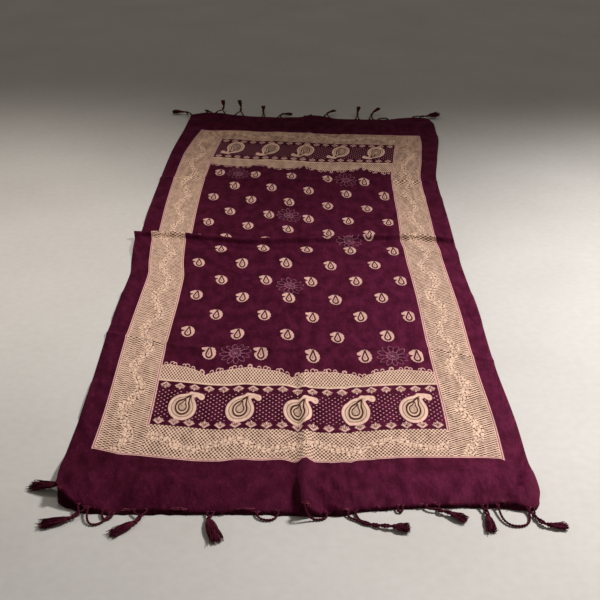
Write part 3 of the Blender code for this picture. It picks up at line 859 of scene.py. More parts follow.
FAR_TASSELS = rows_of(
    Tassel,
    (-0.348, -0.338, -0.366, 0.89, 0.009, -0.394, 0.897, 0.009, 0.015),
    (-0.29, -0.278, -0.29, 0.888, 0.011, -0.296, 0.912, 0.008, 0.008),
    (-0.262, -0.238, -0.243, 0.905, 0.024, -0.246, 0.924, 0.034, 0.008),
    (-0.206, -0.182, -0.192, 0.903, 0.024, -0.196, 0.924, 0.034, 0.008),
    (-0.126, -0.118, -0.124, 0.893, 0.014, -0.124, 0.915, 0.019, 0.008),
    (-0.08, -0.07, -0.064, 0.876, 0.007, -0.04, 0.889, 0.005, 0.008),
    (0.058, 0.072, 0.072, 0.872, 0.013, 0.09, 0.888, 0.015, 0.008),
    (0.15, 0.16, 0.158, 0.874, 0.015, 0.162, 0.895, 0.023, 0.008),
    (0.19, 0.202, 0.204, 0.872, 0.013, 0.222, 0.891, 0.021, 0.008),
    (0.318, 0.34, 0.366, 0.852, 0.009, 0.396, 0.86, 0.013, 0.02),
)

NEAR_LOOPS = rows_of(
    CordLoop,
    (-0.309, -0.279, -0.297, -0.899, 0.01),
    (-0.289, -0.274, -0.282, -0.889, 0.004),
    (-0.074, -0.044, -0.058, -0.89, 0.01),
    (-0.008, 0.023, 0.008, -0.889, 0.011),
    (0.122, 0.129, 0.1255, -0.874, 0.003),
    (0.2626, 0.304, 0.284, -0.902, 0.018),
)

FAR_LOOPS = rows_of(
    CordLoop,
    (0.0, 0.018, 0.01, 0.858, 0.008),
    (0.216, 0.244, 0.234, 0.852, 0.008),
)


class HemNub(NamedTuple):
    """A bunch of threads on the near hem: its place in x and its half width."""

    place: float
    half: float


HEM_NUBS = rows_of(
    HemNub,
    (-0.2566, 0.0069), (-0.1841, 0.0125), (-0.0893, 0.0139), (-0.0056, 0.0042),
    (0.0209, 0.0028), (0.0487, 0.0042), (0.0948, 0.0042), (0.1226, 0.0028),
    (0.1547, 0.0042), (0.1742, 0.0028), (0.1965, 0.0042), (0.269, 0.0042),
)


class ThreadMesh:
    """Collects tubes of thread and makes one mesh of them. It holds the random draws that shape them."""

    REFERENCE = np.array([0.11, 0.05, 0.99])

    def __init__(self, seed: int) -> None:
        """Start with no tube."""
        self.draws = np.random.default_rng(seed)
        self.points: list[Array] = []
        self.faces: list[Array] = []
        self.tones: list[Array] = []
        self.count = 0

    def sections(self, paths: Array, reference: Array) -> tuple[Array, Array]:
        """Two directions square to each path: one aside, from the reference, and one above both.

        Args:
            paths: Paths, with stations and x, y and z last.
            reference: A direction that no path follows.

        Returns:
            The direction aside and the direction above, at each station.
        """
        ahead = unit(np.gradient(paths, axis=-2))
        aside = unit(np.cross(ahead, reference))
        return aside, np.cross(aside, ahead)

    def add(
        self,
        paths: Array,
        radii: Array,
        sides: int,
        tones: Array,
        reference: Array = REFERENCE,
        closed: bool = False,
    ) -> None:
        """Carry a round section along each path: path + radius * (cosine * aside + sine * above).

        Args:
            paths: Strands by stations by 3.
            radii: Strands by stations, or what spreads to it.
            sides: The section's sides.
            tones: One lightness for each strand.
            reference: A direction that no path follows.
            closed: Whether each path runs back into its start; otherwise its ends are capped.
        """
        strands, stations = paths.shape[:2]
        if closed:
            around = np.concatenate([paths[:, -1:], paths, paths[:, :1]], axis=1)
            aside, above = (v[:, 1:-1] for v in self.sections(around, reference))
        else:
            aside, above = self.sections(paths, reference)
        turn = np.linspace(0, 2 * np.pi, sides, endpoint=False)[None, None, :, None]
        radii = np.broadcast_to(radii, (strands, stations))[..., None, None]
        section = np.cos(turn) * aside[:, :, None] + np.sin(turn) * above[:, :, None]
        ring = paths[:, :, None] + radii * section
        number = self.count + np.arange(strands * stations * sides).reshape(strands, stations, sides)
        here, beside = number, np.roll(number, -1, axis=2)
        if closed:
            ahead, ahead_beside = np.roll(here, -1, axis=1), np.roll(beside, -1, axis=1)
            self.faces.append(np.stack([here, ahead, ahead_beside, beside], axis=-1).reshape(-1, 4))
        else:
            walls = np.stack([here[:, :-1], here[:, 1:], beside[:, 1:], beside[:, :-1]], axis=-1)
            self.faces.append(walls.reshape(-1, 4))
            self.faces += [number[:, 0].reshape(-1, sides), number[:, -1, ::-1].reshape(-1, sides)]
        self.points.append(ring.reshape(-1, 3))
        self.tones.append(np.repeat(tones, stations * sides))
        self.count += ring.size // 3

    def build(self, name: str, lowest: float) -> bpy.types.Object:
        """Make the mesh, with each strand's tone as an attribute.

        Args:
            name: The piece's name.
            lowest: The height that no point goes below.

        Returns:
            The piece.
        """
        points = np.concatenate(self.points)
        points[:, 2] = np.maximum(points[:, 2], lowest)
        mesh = mesh_of(name, points, self.faces)
        tone = mesh.attributes.new("tone", "FLOAT", "POINT")
        tone.data.foreach_set("value", np.concatenate(self.tones).astype(np.float32))
        return new_object(name, mesh)


@dataclass(frozen=True)
class Tuft:
    """The loose strands beyond a knot, which fan out and draw together into locks."""

    strands: int = 120
    stations: int = 9
    sides: int = 4
    strand_radius: float = 0.0006
    rise: float = 0.4
    locks: int = 9
    lock_pull: float = 0.55
    least_spread: float = 0.3
    reach: float = 0.96
    reach_round: float = 0.04
    strand_uneven: float = 0.05
    lock_uneven: float = 0.09
    sway: float = 0.0013
    droop: float = 0.0012
    lowest: float = 0.0008
    pile: float = 0.0014

    def spots(self, t: Array) -> Array:
        """Each strand's place in the tuft's oval, which goes over to its lock's place further out.

        A strand's own place is on a spiral of equal areas.

        Args:
            t: The share of the way along the tuft.

        Returns:
            Places across and over, one row of each for every strand.
        """
        number = np.arange(self.strands)
        angle = number * GOLDEN_ANGLE
        radius = np.sqrt((number + 0.5) / self.strands)
        lock = number % self.locks
        lock_angle, lock_radius = lock * 2.4 + 0.4, 0.35 + 0.6 * ((lock * 0.618) % 1)
        own = np.stack([radius * np.cos(angle), radius * np.sin(angle)])[..., None]
        shared = np.stack([lock_radius * np.cos(lock_angle), lock_radius * np.sin(lock_angle)])[..., None]
        drawn = self.lock_pull * t**1.5
        return own * (1 - drawn) + shared * drawn

    def add_to(self, threads: ThreadMesh, knot: Array, tip: Array, spread: float) -> None:
        """Fan the tuft out of a knot.

        Each strand keeps its place in an oval that widens by a power of the way along, sways by a sine of its
        own, droops by the square of the way and ends at its own length.

        Args:
            threads: Where the strands go.
            knot: Where the tuft starts.
            tip: Where its longest strands end.
            spread: Its half width at the end.
        """
        rng = threads.draws
        ahead = unit(tip - knot)
        aside = unit(np.cross(ahead, threads.REFERENCE))
        above = np.cross(aside, ahead)
        each = (self.strands, 1)
        t = np.linspace(0, 1, self.stations)[None]
        across, over = self.spots(t)
        number = np.arange(self.strands)[:, None]
        uneven = rng.normal(0, self.strand_uneven, each)
        uneven = uneven + self.lock_uneven * np.sin(number % self.locks * 1.7)
        share = (number + 0.5) / self.strands
        reach = np.linalg.norm(tip - knot) * (self.reach - self.reach_round * share + uneven)
        widen = self.least_spread + (1 - self.least_spread) * t**0.75
        sway = np.sin(t * rng.uniform(2.5, 6.0, each) + rng.uniform(0, 6.3, each)) * t * self.sway
        sideways = across * spread * widen + sway
        upward = over * spread * self.rise * widen + sway[::-1] - self.droop * t**2
        paths = knot + (reach * (0.04 + 0.96 * t))[..., None] * ahead
        paths = paths + sideways[..., None] * aside + upward[..., None] * above
        paths[..., 2] = np.maximum(paths[..., 2], self.lowest + self.pile * rng.uniform(0, 1, each))
        radii = self.strand_radius * (1.1 - 0.4 * t) * rng.uniform(0.85, 1.15, each)
        threads.add(paths, radii, self.sides, rng.uniform(0.0, 1.0, self.strands))


@dataclass
class Fringe:
    """The knotted tassels, the cord loops and the loose thread ends along both hems."""

    form: ClothForm = field(default_factory=ClothForm)
    tuft: Tuft = field(default_factory=Tuft)
    cord_radius: float = 0.0019
    ply_radius: float = 0.00108
    ply_reach: float = 0.00082
    ply_sides: int = 7
    ply_tones: tuple = (0.55, 0.42)
    twist_pitch: float = 0.0085
    step: float = 0.0009
    root_run: float = 0.0045
    leave: float = 0.3
    arrive: float = 0.35
    loop_round: float = 0.5
    pair_steps: int = 30
    pair_reach: float = 0.002
    pair_rise: float = 0.6
    pair_pitch: float = 0.03
    pair_meet: float = 0.5
    web_threads: int = 6
    web_spread: float = 0.0042
    web_uneven: float = 0.0004
    web_rise: float = 0.0006
    web_radius: float = 0.00055
    knot_ring: float = 0.0016
    knot_thread: float = 0.0012
    knot_steps: int = 72
    knot_swell: float = 0.42
    knot_depth: float = 1.05
    fray_pitch: float = 0.0026
    fray_inset: float = 0.001
    fray_radius: float = 0.00045
    fray_lowest: float = 0.0009
    nub_threads: int = 8
    nub_radius: float = 0.00055
    far_number: int = 20
    floor_gap: float = 0.0005

    def across(self, x: float, line: float) -> Array:
        """The across value of a place in x on a line: its share of the way between the selvedges."""
        left, right = (read(SELVEDGES, "line", side, np.array([line])) for side in ("left", "right"))
        return (x - left) / (right - left) * CLOTH_WIDTH - HALF_WIDTH

    def hem_root(self, x: float, hem: Hem) -> tuple[Array, Array]:
        """Find where a cord leaves a hem.

        Args:
            x: The place in x along the hem.
            hem: The hem.

        Returns:
            The place, and the way out of the cloth there, with no part sideways.
        """
        line, inner = {Hem.NEAR: (0.0, 0.01), Hem.FAR: (5.0, 4.97)}[hem]
        across = self.across(x, line)
        place = self.form.laid(np.array([line]), across)[0] + STOLE_PLACE
        behind = self.form.laid(np.array([inner]), across)[0] + STOLE_PLACE
        out = unit(place - behind)
        out[0] = 0.0
        return place, unit(out)

    def twisted(self, threads: ThreadMesh, path: Array, phase: float) -> None:
        """Lay two plies about a path, each a helix that turns once in a pitch.

        Args:
            threads: Where the plies go.
            path: The cord's middle line.
            phase: Where the first ply starts.
        """
        path = even_steps(path, self.step)
        aside, above = threads.sections(path, threads.REFERENCE)
        turn = np.arange(len(path)) * self.step / self.twist_pitch * 2 * np.pi + phase
        plies = np.stack([turn, turn + np.pi])[..., None]
        helix = path + self.ply_reach * (np.cos(plies) * aside + np.sin(plies) * above)
        threads.add(helix, np.full((2, len(path)), self.ply_radius), self.ply_sides, np.array(self.ply_tones))

    def root_web(self, threads: ThreadMesh, path: Array) -> None:
        """Spread a cord's threads into the hem.

        Each short thread starts at its own place on the hem, and a power of the way along takes it onto the
        cord, over a low half sine.

        Args:
            threads: Where the threads go.
            path: The cord's middle line, from the hem.
        """
        rng = threads.draws
        start, meet = path[0], path[min(len(path) - 1, 3)]
        count, stations = self.web_threads, 5
        spread = np.linspace(-self.web_spread, self.web_spread, count)
        spread = spread + rng.normal(0, self.web_uneven, count)
        t = np.linspace(0, 1, stations)[None, :, None]
        aside = np.stack([spread, np.zeros(count), np.zeros(count)], axis=1)[:, None]
        paths = start * (1 - t) + meet * t + aside * (1 - t) ** 1.4
        paths[..., 2] += self.web_rise * np.sin(np.pi * t[..., 0])
        threads.add(paths, np.full((count, stations), self.web_radius), 5, rng.uniform(0.4, 1.5, count))

    def knot(self, threads: ThreadMesh, place: Array, ahead: Array) -> None:
        """Tie a knot: a thick thread on a closed curve, twice round the cord and three times through.

        Args:
            threads: Where the knot goes.
            place: Its middle.
            ahead: The way that the cord runs through it.
        """
        aside = unit(np.cross(ahead, threads.REFERENCE))
        above = np.cross(aside, ahead)
        turn = np.linspace(0, 2 * np.pi, self.knot_steps, endpoint=False)[:, None]
        swell = 1 + self.knot_swell * np.cos(3 * turn)
        around = aside * (np.cos(2 * turn) * swell) + above * (np.sin(2 * turn) * swell)
        path = place + self.knot_ring * (around + ahead * (self.knot_depth * np.sin(3 * turn)))
        radii = np.full((1, self.knot_steps), self.knot_thread)
        threads.add(path[None], radii, 8, np.array([0.5]), ahead, closed=True)

    def cord_pair(self, tassel: Tassel, hem: Hem, knot: Array, towards: Array) -> list[Array]:
        """The middle lines of a tassel's two cords.

        Both follow one curve from between their roots to the knot. Each starts at its own root, and past the
        place where they meet they wind round each other: curve + reach * (cosine * aside + sine * up).

        Args:
            tassel: The tassel.
            hem: The hem that it hangs from.
            knot: The knot's place.
            towards: The way from the knot to the tuft's tip.

        Returns:
            The two lines.
        """
        ends = [self.hem_root(x, hem) for x in (tassel.root_a, tassel.root_b)]
        clear = sum(root + out * self.root_run for root, out in ends) / 2
        out = unit(ends[0][1] + ends[1][1])
        reach = np.linalg.norm(knot - clear)
        steer = (clear, clear + out * self.leave * reach, knot - towards * self.arrive * reach, knot)
        middle = bent(steer, self.pair_steps)
        run = run_along(middle)
        met = np.clip(run / run[-1] / self.pair_meet, 0, 1)[:, None]
        met = met * met * (3 - 2 * met)
        turn = (run * 2 * np.pi / self.pair_pitch)[:, None]
        aside = unit(np.cross(unit(np.gradient(middle, axis=0)), np.array([0.0, 0.0, 1.0])))
        up = np.array([0.0, 0.0, self.pair_rise])
        wind = self.pair_reach * (np.cos(turn) * aside + np.sin(turn) * up)
        lines = []
        for sign, (root, way) in zip((1.0, -1.0), ends):
            start = root + way * self.root_run - clear
            line = middle + start * (1 - met) + sign * wind * met
            lines.append(np.concatenate([root[None], line]))
        return lines

    def tassel(self, name: str, tassel: Tassel, hem: Hem, number: int) -> bpy.types.Object:
        """Build one tassel: two cords, their knot and its tuft.

        Args:
            name: The piece's name.
            tassel: The tassel.
            hem: The hem that it hangs from.
            number: Its number, which seeds its random draws.

        Returns:
            The piece.
        """
        threads = ThreadMesh(100 + number)
        knot = np.array([tassel.knot_x, tassel.knot_y, tassel.knot_z + self.floor_gap]) + STOLE_PLACE
        tip = np.array([tassel.tip_x, tassel.tip_y, tassel.tip_z]) + STOLE_PLACE
        towards = unit(tip - knot)
        for side, path in enumerate(self.cord_pair(tassel, hem, knot, towards)):
            path[:, 2] = np.maximum(path[:, 2], self.cord_radius + self.floor_gap)
            self.root_web(threads, path)
            self.twisted(threads, path, side * 1.9 + number)
        self.knot(threads, knot, towards)
        self.tuft.add_to(threads, knot + towards * 0.001, tip, tassel.spread)
        return threads.build(name, self.floor_gap / 2)

    def loop(self, name: str, loop: CordLoop, hem: Hem, number: int) -> bpy.types.Object:
        """Build one cord that lies in a loop beside the hem: two cubic curves that meet at its reach.

        Args:
            name: The piece's name.
            loop: The loop.
            hem: The hem that it leaves.
            number: Its number, which seeds its random draws.

        Returns:
            The piece.
        """
        threads = ThreadMesh(300 + number)
        root_a, out_a = self.hem_root(loop.root_a, hem)
        root_b, out_b = self.hem_root(loop.root_b, hem)
        lowest = self.cord_radius + self.floor_gap
        reach = np.array([loop.reach_x, loop.reach_y, lowest]) + STOLE_PLACE
        turn = np.array([loop.turn, 0, 0])
        clear_a, clear_b = root_a + out_a * self.root_run, root_b + out_b * self.root_run
        run = max(self.root_run, self.loop_round * abs(reach[1] - clear_a[1]))
        go = bent((clear_a, clear_a + out_a * run, reach - turn, reach), 18)
        back = bent((reach, reach + turn, clear_b + out_b * run, clear_b), 18)
        path = np.concatenate([root_a[None], go, back[1:], root_b[None]])
        path[1:-1, 2] = np.maximum(path[1:-1, 2], lowest)
        self.root_web(threads, path)
        self.root_web(threads, path[::-1])
        self.twisted(threads, path, number * 1.3)
        return threads.build(name, self.floor_gap / 2)

    def loose_ends(self, threads: ThreadMesh, line: float, sign: float) -> None:
        """Add the short loose ends of warp along one hem, each a thread that leans and droops its own way.

        Args:
            threads: Where the ends go.
            line: The hem's line value.
            sign: The way out of the cloth along y.
        """
        rng = threads.draws
        count = int(CLOTH_WIDTH / self.fray_pitch)
        edge = HALF_WIDTH - self.fray_inset
        across = np.linspace(-edge, edge, count) + rng.normal(0, 0.0007, count)
        across = np.clip(across, -HALF_WIDTH, HALF_WIDTH)
        root = self.form.laid(np.full(count, line), across) + STOLE_PLACE
        reach = rng.uniform(0.0012, 0.0042, count)
        lean = rng.normal(0, 0.6, count)
        rise = rng.uniform(-0.2, 0.5, count)
        t = np.linspace(-0.3, 1, 5)[None, :, None]
        way = np.stack([lean, np.full(count, sign), rise], axis=1)[:, None] * reach[:, None, None]
        paths = root[:, None] + way * t
        paths[..., 2] -= (reach[:, None] * 0.5) * t[..., 0] ** 2
        paths[..., 2] = np.maximum(paths[..., 2], self.fray_lowest)
        radii = np.full((count, 5), self.fray_radius) * rng.uniform(0.7, 1.3, (count, 1))
        threads.add(paths, radii, 4, rng.uniform(0, 1, count))

    def nub(self, threads: ThreadMesh, nub: HemNub) -> None:
        """Add a bunch of threads that lies along the near hem.

        Each thread runs from one side of the bunch to the other over the hem, in a low uneven half sine.

        Args:
            threads: Where the threads go.
            nub: The bunch.
        """
        rng = threads.draws
        count, stations = self.nub_threads, 9
        each, every = (count, 1), (count, stations)
        root, _ = self.hem_root(nub.place, Hem.NEAR)
        run = np.linspace(-1, 1, stations)[None]
        t = run * rng.uniform(0.5, 1.0, each) + rng.normal(0, 0.2, each)
        over = np.cos(run * np.pi / 2) * rng.uniform(0.0006, 0.002, each)
        over = over + rng.normal(0, 0.0004, every)
        away = rng.uniform(-0.0012, 0.0024, each) + rng.normal(0, 0.0005, every)
        paths = root + np.stack([t * nub.half, -away, over + 0.0003], axis=-1)
        threads.add(paths, np.full(every, self.nub_radius), 5, rng.uniform(0.7, 1.6, count))

    def thread_ends(self) -> bpy.types.Object:
        """Build the loose warp ends along both hems, with the bunches that lie on the near one."""
        threads = ThreadMesh(7)
        self.loose_ends(threads, 0.0, -1.0)
        self.loose_ends(threads, 5.0, 1.0)
        for nub in HEM_NUBS:
            self.nub(threads, nub)
        return threads.build("hem_thread_ends", self.floor_gap / 2)

    def build(self) -> list[tuple[bpy.types.Object, str]]:
        """Build every tassel, loop and thread end.

        Returns:
            Each new piece with the name of the node that it stands for, or with no name.
        """
        made = []
        for hem, first, kind, make, rows in (
            (Hem.NEAR, 0, "tassel", self.tassel, NEAR_TASSELS),
            (Hem.NEAR, 0, "loop", self.loop, NEAR_LOOPS),
            (Hem.FAR, self.far_number, "tassel", self.tassel, FAR_TASSELS),
            (Hem.FAR, self.far_number, "loop", self.loop, FAR_LOOPS),
        ):
            for i, row in enumerate(rows):
                node = f"{hem.value}_{kind}_{i + 1:02d}"
                made.append((make(node + "_threads", row, hem, first + i), node))
        made.append((self.thread_ends(), ""))
        return made


class Signal:
    """A number on a wire of a node tree. Arithmetic on it adds Math nodes to the tree."""

    def __init__(self, tree: Tree, source: "Socket | float") -> None:
        """Hold a socket, or a plain number."""
        self.tree = tree
        self.source = source

    def math(self, operation: str, *others: "Signal | float", clamp: bool = False) -> "Signal":
        """Add one Math node that reads this number and others.

        Args:
            operation: Blender's name of the operation.
            others: The operation's other inputs.
            clamp: Whether the result is kept from 0 to 1.

        Returns:
            The result.
        """
        node = self.tree.nodes.new("ShaderNodeMath")
        node.operation = operation
        node.use_clamp = clamp
        for socket, value in zip(node.inputs, (self, *others)):
            source = value.source if isinstance(value, Signal) else value
            if isinstance(source, Socket):
                self.tree.links.new(source, socket)
            else:
                socket.default_value = source
        return Signal(self.tree, node.outputs[0])

    def __add__(self, other: "Signal | float") -> "Signal":
        """The sum."""
        return self.math("ADD", other)

    def __sub__(self, other: "Signal | float") -> "Signal":
        """The difference."""
        return self.math("SUBTRACT", other)

    def __mul__(self, other: "Signal | float") -> "Signal":
        """The product."""
        return self.math("MULTIPLY", other)

    def __truediv__(self, other: "Signal | float") -> "Signal":
        """The quotient."""
        return self.math("DIVIDE", other)

    def __radd__(self, other: float) -> "Signal":
        """The sum with a plain number first."""
        return self.math("ADD", other)

    def __rsub__(self, other: float) -> "Signal":
        """A plain number less this one."""
        return Signal(self.tree, other).math("SUBTRACT", self)

    def size(self) -> "Signal":
        """The number without its sign."""
        return self.math("ABSOLUTE")

    def fract(self) -> "Signal":
        """The part above the next lower whole number."""
        return self.math("FRACT")

    def cosine(self) -> "Signal":
        """The cosine."""
        return self.math("COSINE")

    def sine(self) -> "Signal":
        """The sine."""
        return self.math("SINE")

    def least(self, other: "Signal | float") -> "Signal":
        """The smaller of two numbers."""
        return self.math("MINIMUM", other)

    def most(self, other: "Signal | float") -> "Signal":
        """The larger of two numbers."""
        return self.math("MAXIMUM", other)

    def inside(self, softness: float) -> "Signal":
        """A mask: 1 where the number is below zero, 0 above it, and a soft step between."""
        return self.math("MULTIPLY_ADD", -1 / softness, 0.5, clamp=True)

    def ramp(self, low: float, high: float) -> "Signal":
        """A mask that goes straight from 0 at low to 1 at high."""
        return self.math("MULTIPLY_ADD", 1 / (high - low), -low / (high - low), clamp=True)

    def between(self, low: float, high: float, softness: float) -> "Signal":
        """A mask: 1 where the number lies between two values."""
        return ((self - (low + high) / 2).size() - (high - low) / 2).inside(softness)

    def centred(self, pitch: float, start: float = 0.0) -> "Signal":
        """The signed distance from the nearest point of an even row with that pitch and a point at start."""
        return ((self - start) / pitch + 0.5).fract() * pitch - pitch / 2


def length(x: Signal, y: Signal) -> Signal:
    """The length of a vector of two numbers."""
    return (x * x + y * y).math("SQRT")


def blend(a: Signal, b: "Signal | float", share: Signal) -> Signal:
    """Go from a to b by a share."""
    return a + (b - a if isinstance(b, Signal) else (b - a)) * share


def smooth_least(a: Signal, b: Signal, reach: float) -> Signal:
    """The smaller of two distances, rounded where they meet."""
    return a.math("SMOOTH_MIN", b, reach)


class Place:
    """A vector on a wire of a node tree: a place for a pattern to read."""

    def __init__(self, tree: Tree, source: Socket) -> None:
        """Hold a socket."""
        self.tree = tree
        self.source = source

    def numbers(self) -> tuple[Signal, Signal, Signal]:
        """Its three numbers."""
        node = self.tree.nodes.new("ShaderNodeSeparateXYZ")
        self.tree.links.new(self.source, node.inputs[0])
        return tuple(Signal(self.tree, out) for out in node.outputs)

    def texture(self, kind: str, scale: tuple) -> bpy.types.Node:
        """Add a texture that reads the place.

        Args:
            kind: Blender's name of its node.
            scale: Its scale along each axis.

        Returns:
            The texture's node.
        """
        stretch = self.tree.nodes.new("ShaderNodeVectorMath")
        stretch.operation = "MULTIPLY"
        stretch.inputs[1].default_value = scale
        self.tree.links.new(self.source, stretch.inputs[0])
        node = self.tree.nodes.new(kind)
        node.inputs["Scale"].default_value = 1.0
        self.tree.links.new(stretch.outputs[0], node.inputs["Vector"])
        return node

    def noise(self, scale: tuple, detail: float) -> Signal:
        """Smooth noise from 0 to 1, with its scale along each axis and how many finer layers it has."""
        node = self.texture("ShaderNodeTexNoise", scale)
        node.inputs["Detail"].default_value = detail
        return Signal(self.tree, node.outputs["Fac"])

    def cells(self, scale: tuple) -> Signal:
        """Small uneven cells: the distance from the nearest cell wall, about 0.4 in a cell's middle."""
        node = self.texture("ShaderNodeTexVoronoi", scale)
        node.voronoi_dimensions = "2D"
        node.feature = "DISTANCE_TO_EDGE"
        return Signal(self.tree, node.outputs["Distance"])


def new_group(name: str, vectors: tuple, numbers: tuple) -> tuple[Tree, dict[str, Place]]:
    """Start a shader node group.

    Args:
        name: The group's name.
        vectors: The names of its inputs, which are vectors.
        numbers: The names of its outputs, which are numbers.

    Returns:
        The group, and its inputs as places by name.
    """
    group = bpy.data.node_groups.new(name, "ShaderNodeTree")
    for label in vectors:
        group.interface.new_socket(label, in_out="INPUT", socket_type="NodeSocketVector")
    for label in numbers:
        group.interface.new_socket(label, in_out="OUTPUT", socket_type="NodeSocketFloat")
    entry = group.nodes.new("NodeGroupInput")
    return group, {label: Place(group, entry.outputs[label]) for label in vectors}


def send(group: Tree, **results: Signal) -> None:
    """Wire results to a group's outputs of the same names.

    Args:
        group: The node group.
        results: What each output gives.
    """
    leave = group.nodes.new("NodeGroupOutput")
    for label, result in results.items():
        group.links.new(result.source, leave.inputs[label])


def join(x: Signal, y: Signal) -> Place:
    """A place of two numbers.

    Args:
        x: Its first number.
        y: Its second number.

    Returns:
        The place.
    """
    node = x.tree.nodes.new("ShaderNodeCombineXYZ")
    x.tree.links.new(x.source, node.inputs[0])
    x.tree.links.new(y.source, node.inputs[1])
    return Place(x.tree, node.outputs[0])


def place_group(tree: Tree, group: Tree, **inputs: Place) -> dict[str, Signal]:
    """Place a group in a tree.

    Args:
        tree: The tree to add it to.
        group: The node group.
        inputs: What each input reads.

    Returns:
        The group's outputs as signals by name.
    """
    node = tree.nodes.new("ShaderNodeGroup")
    node.node_tree = group
    for label, place in inputs.items():
        tree.links.new(place.source, node.inputs[label])
    return {out.name: Signal(tree, out) for out in node.outputs}


def mix(share: Signal, a: object, b: object) -> Socket:
    """Mix two colours.

    Args:
        share: The share of the second colour.
        a: The first colour, as red, green and blue or as a socket.
        b: The second colour, likewise.

    Returns:
        The mixed colour's socket.
    """
    node = share.tree.nodes.new("ShaderNodeMix")
    node.data_type = "RGBA"
    share.tree.links.new(share.source, node.inputs[0])
    for socket, value in ((node.inputs[6], a), (node.inputs[7], b)):
        if isinstance(value, tuple):
            socket.default_value = (*value, 1.0)
        else:
            share.tree.links.new(value, socket)
    return node.outputs[2]


def start_material(name: str, values: dict) -> tuple[bpy.types.Material, Tree, bpy.types.Node]:
    """Start a material.

    Args:
        name: Its name.
        values: Values for the shader's own sockets, by their names.

    Returns:
        The material, its node tree and its Principled shader.
    """
    material = bpy.data.materials.new(name)
    material.use_nodes = True
    shader = material.node_tree.nodes["Principled BSDF"]
    for label, value in values.items():
        shader.inputs[label].default_value = value
    return material, material.node_tree, shader


class Capsule(NamedTuple):
    """A tapered capsule: a straight line with a radius at each of its ends."""

    x: float
    y: float
    radius: float
    end_x: float
    end_y: float
    end_radius: float


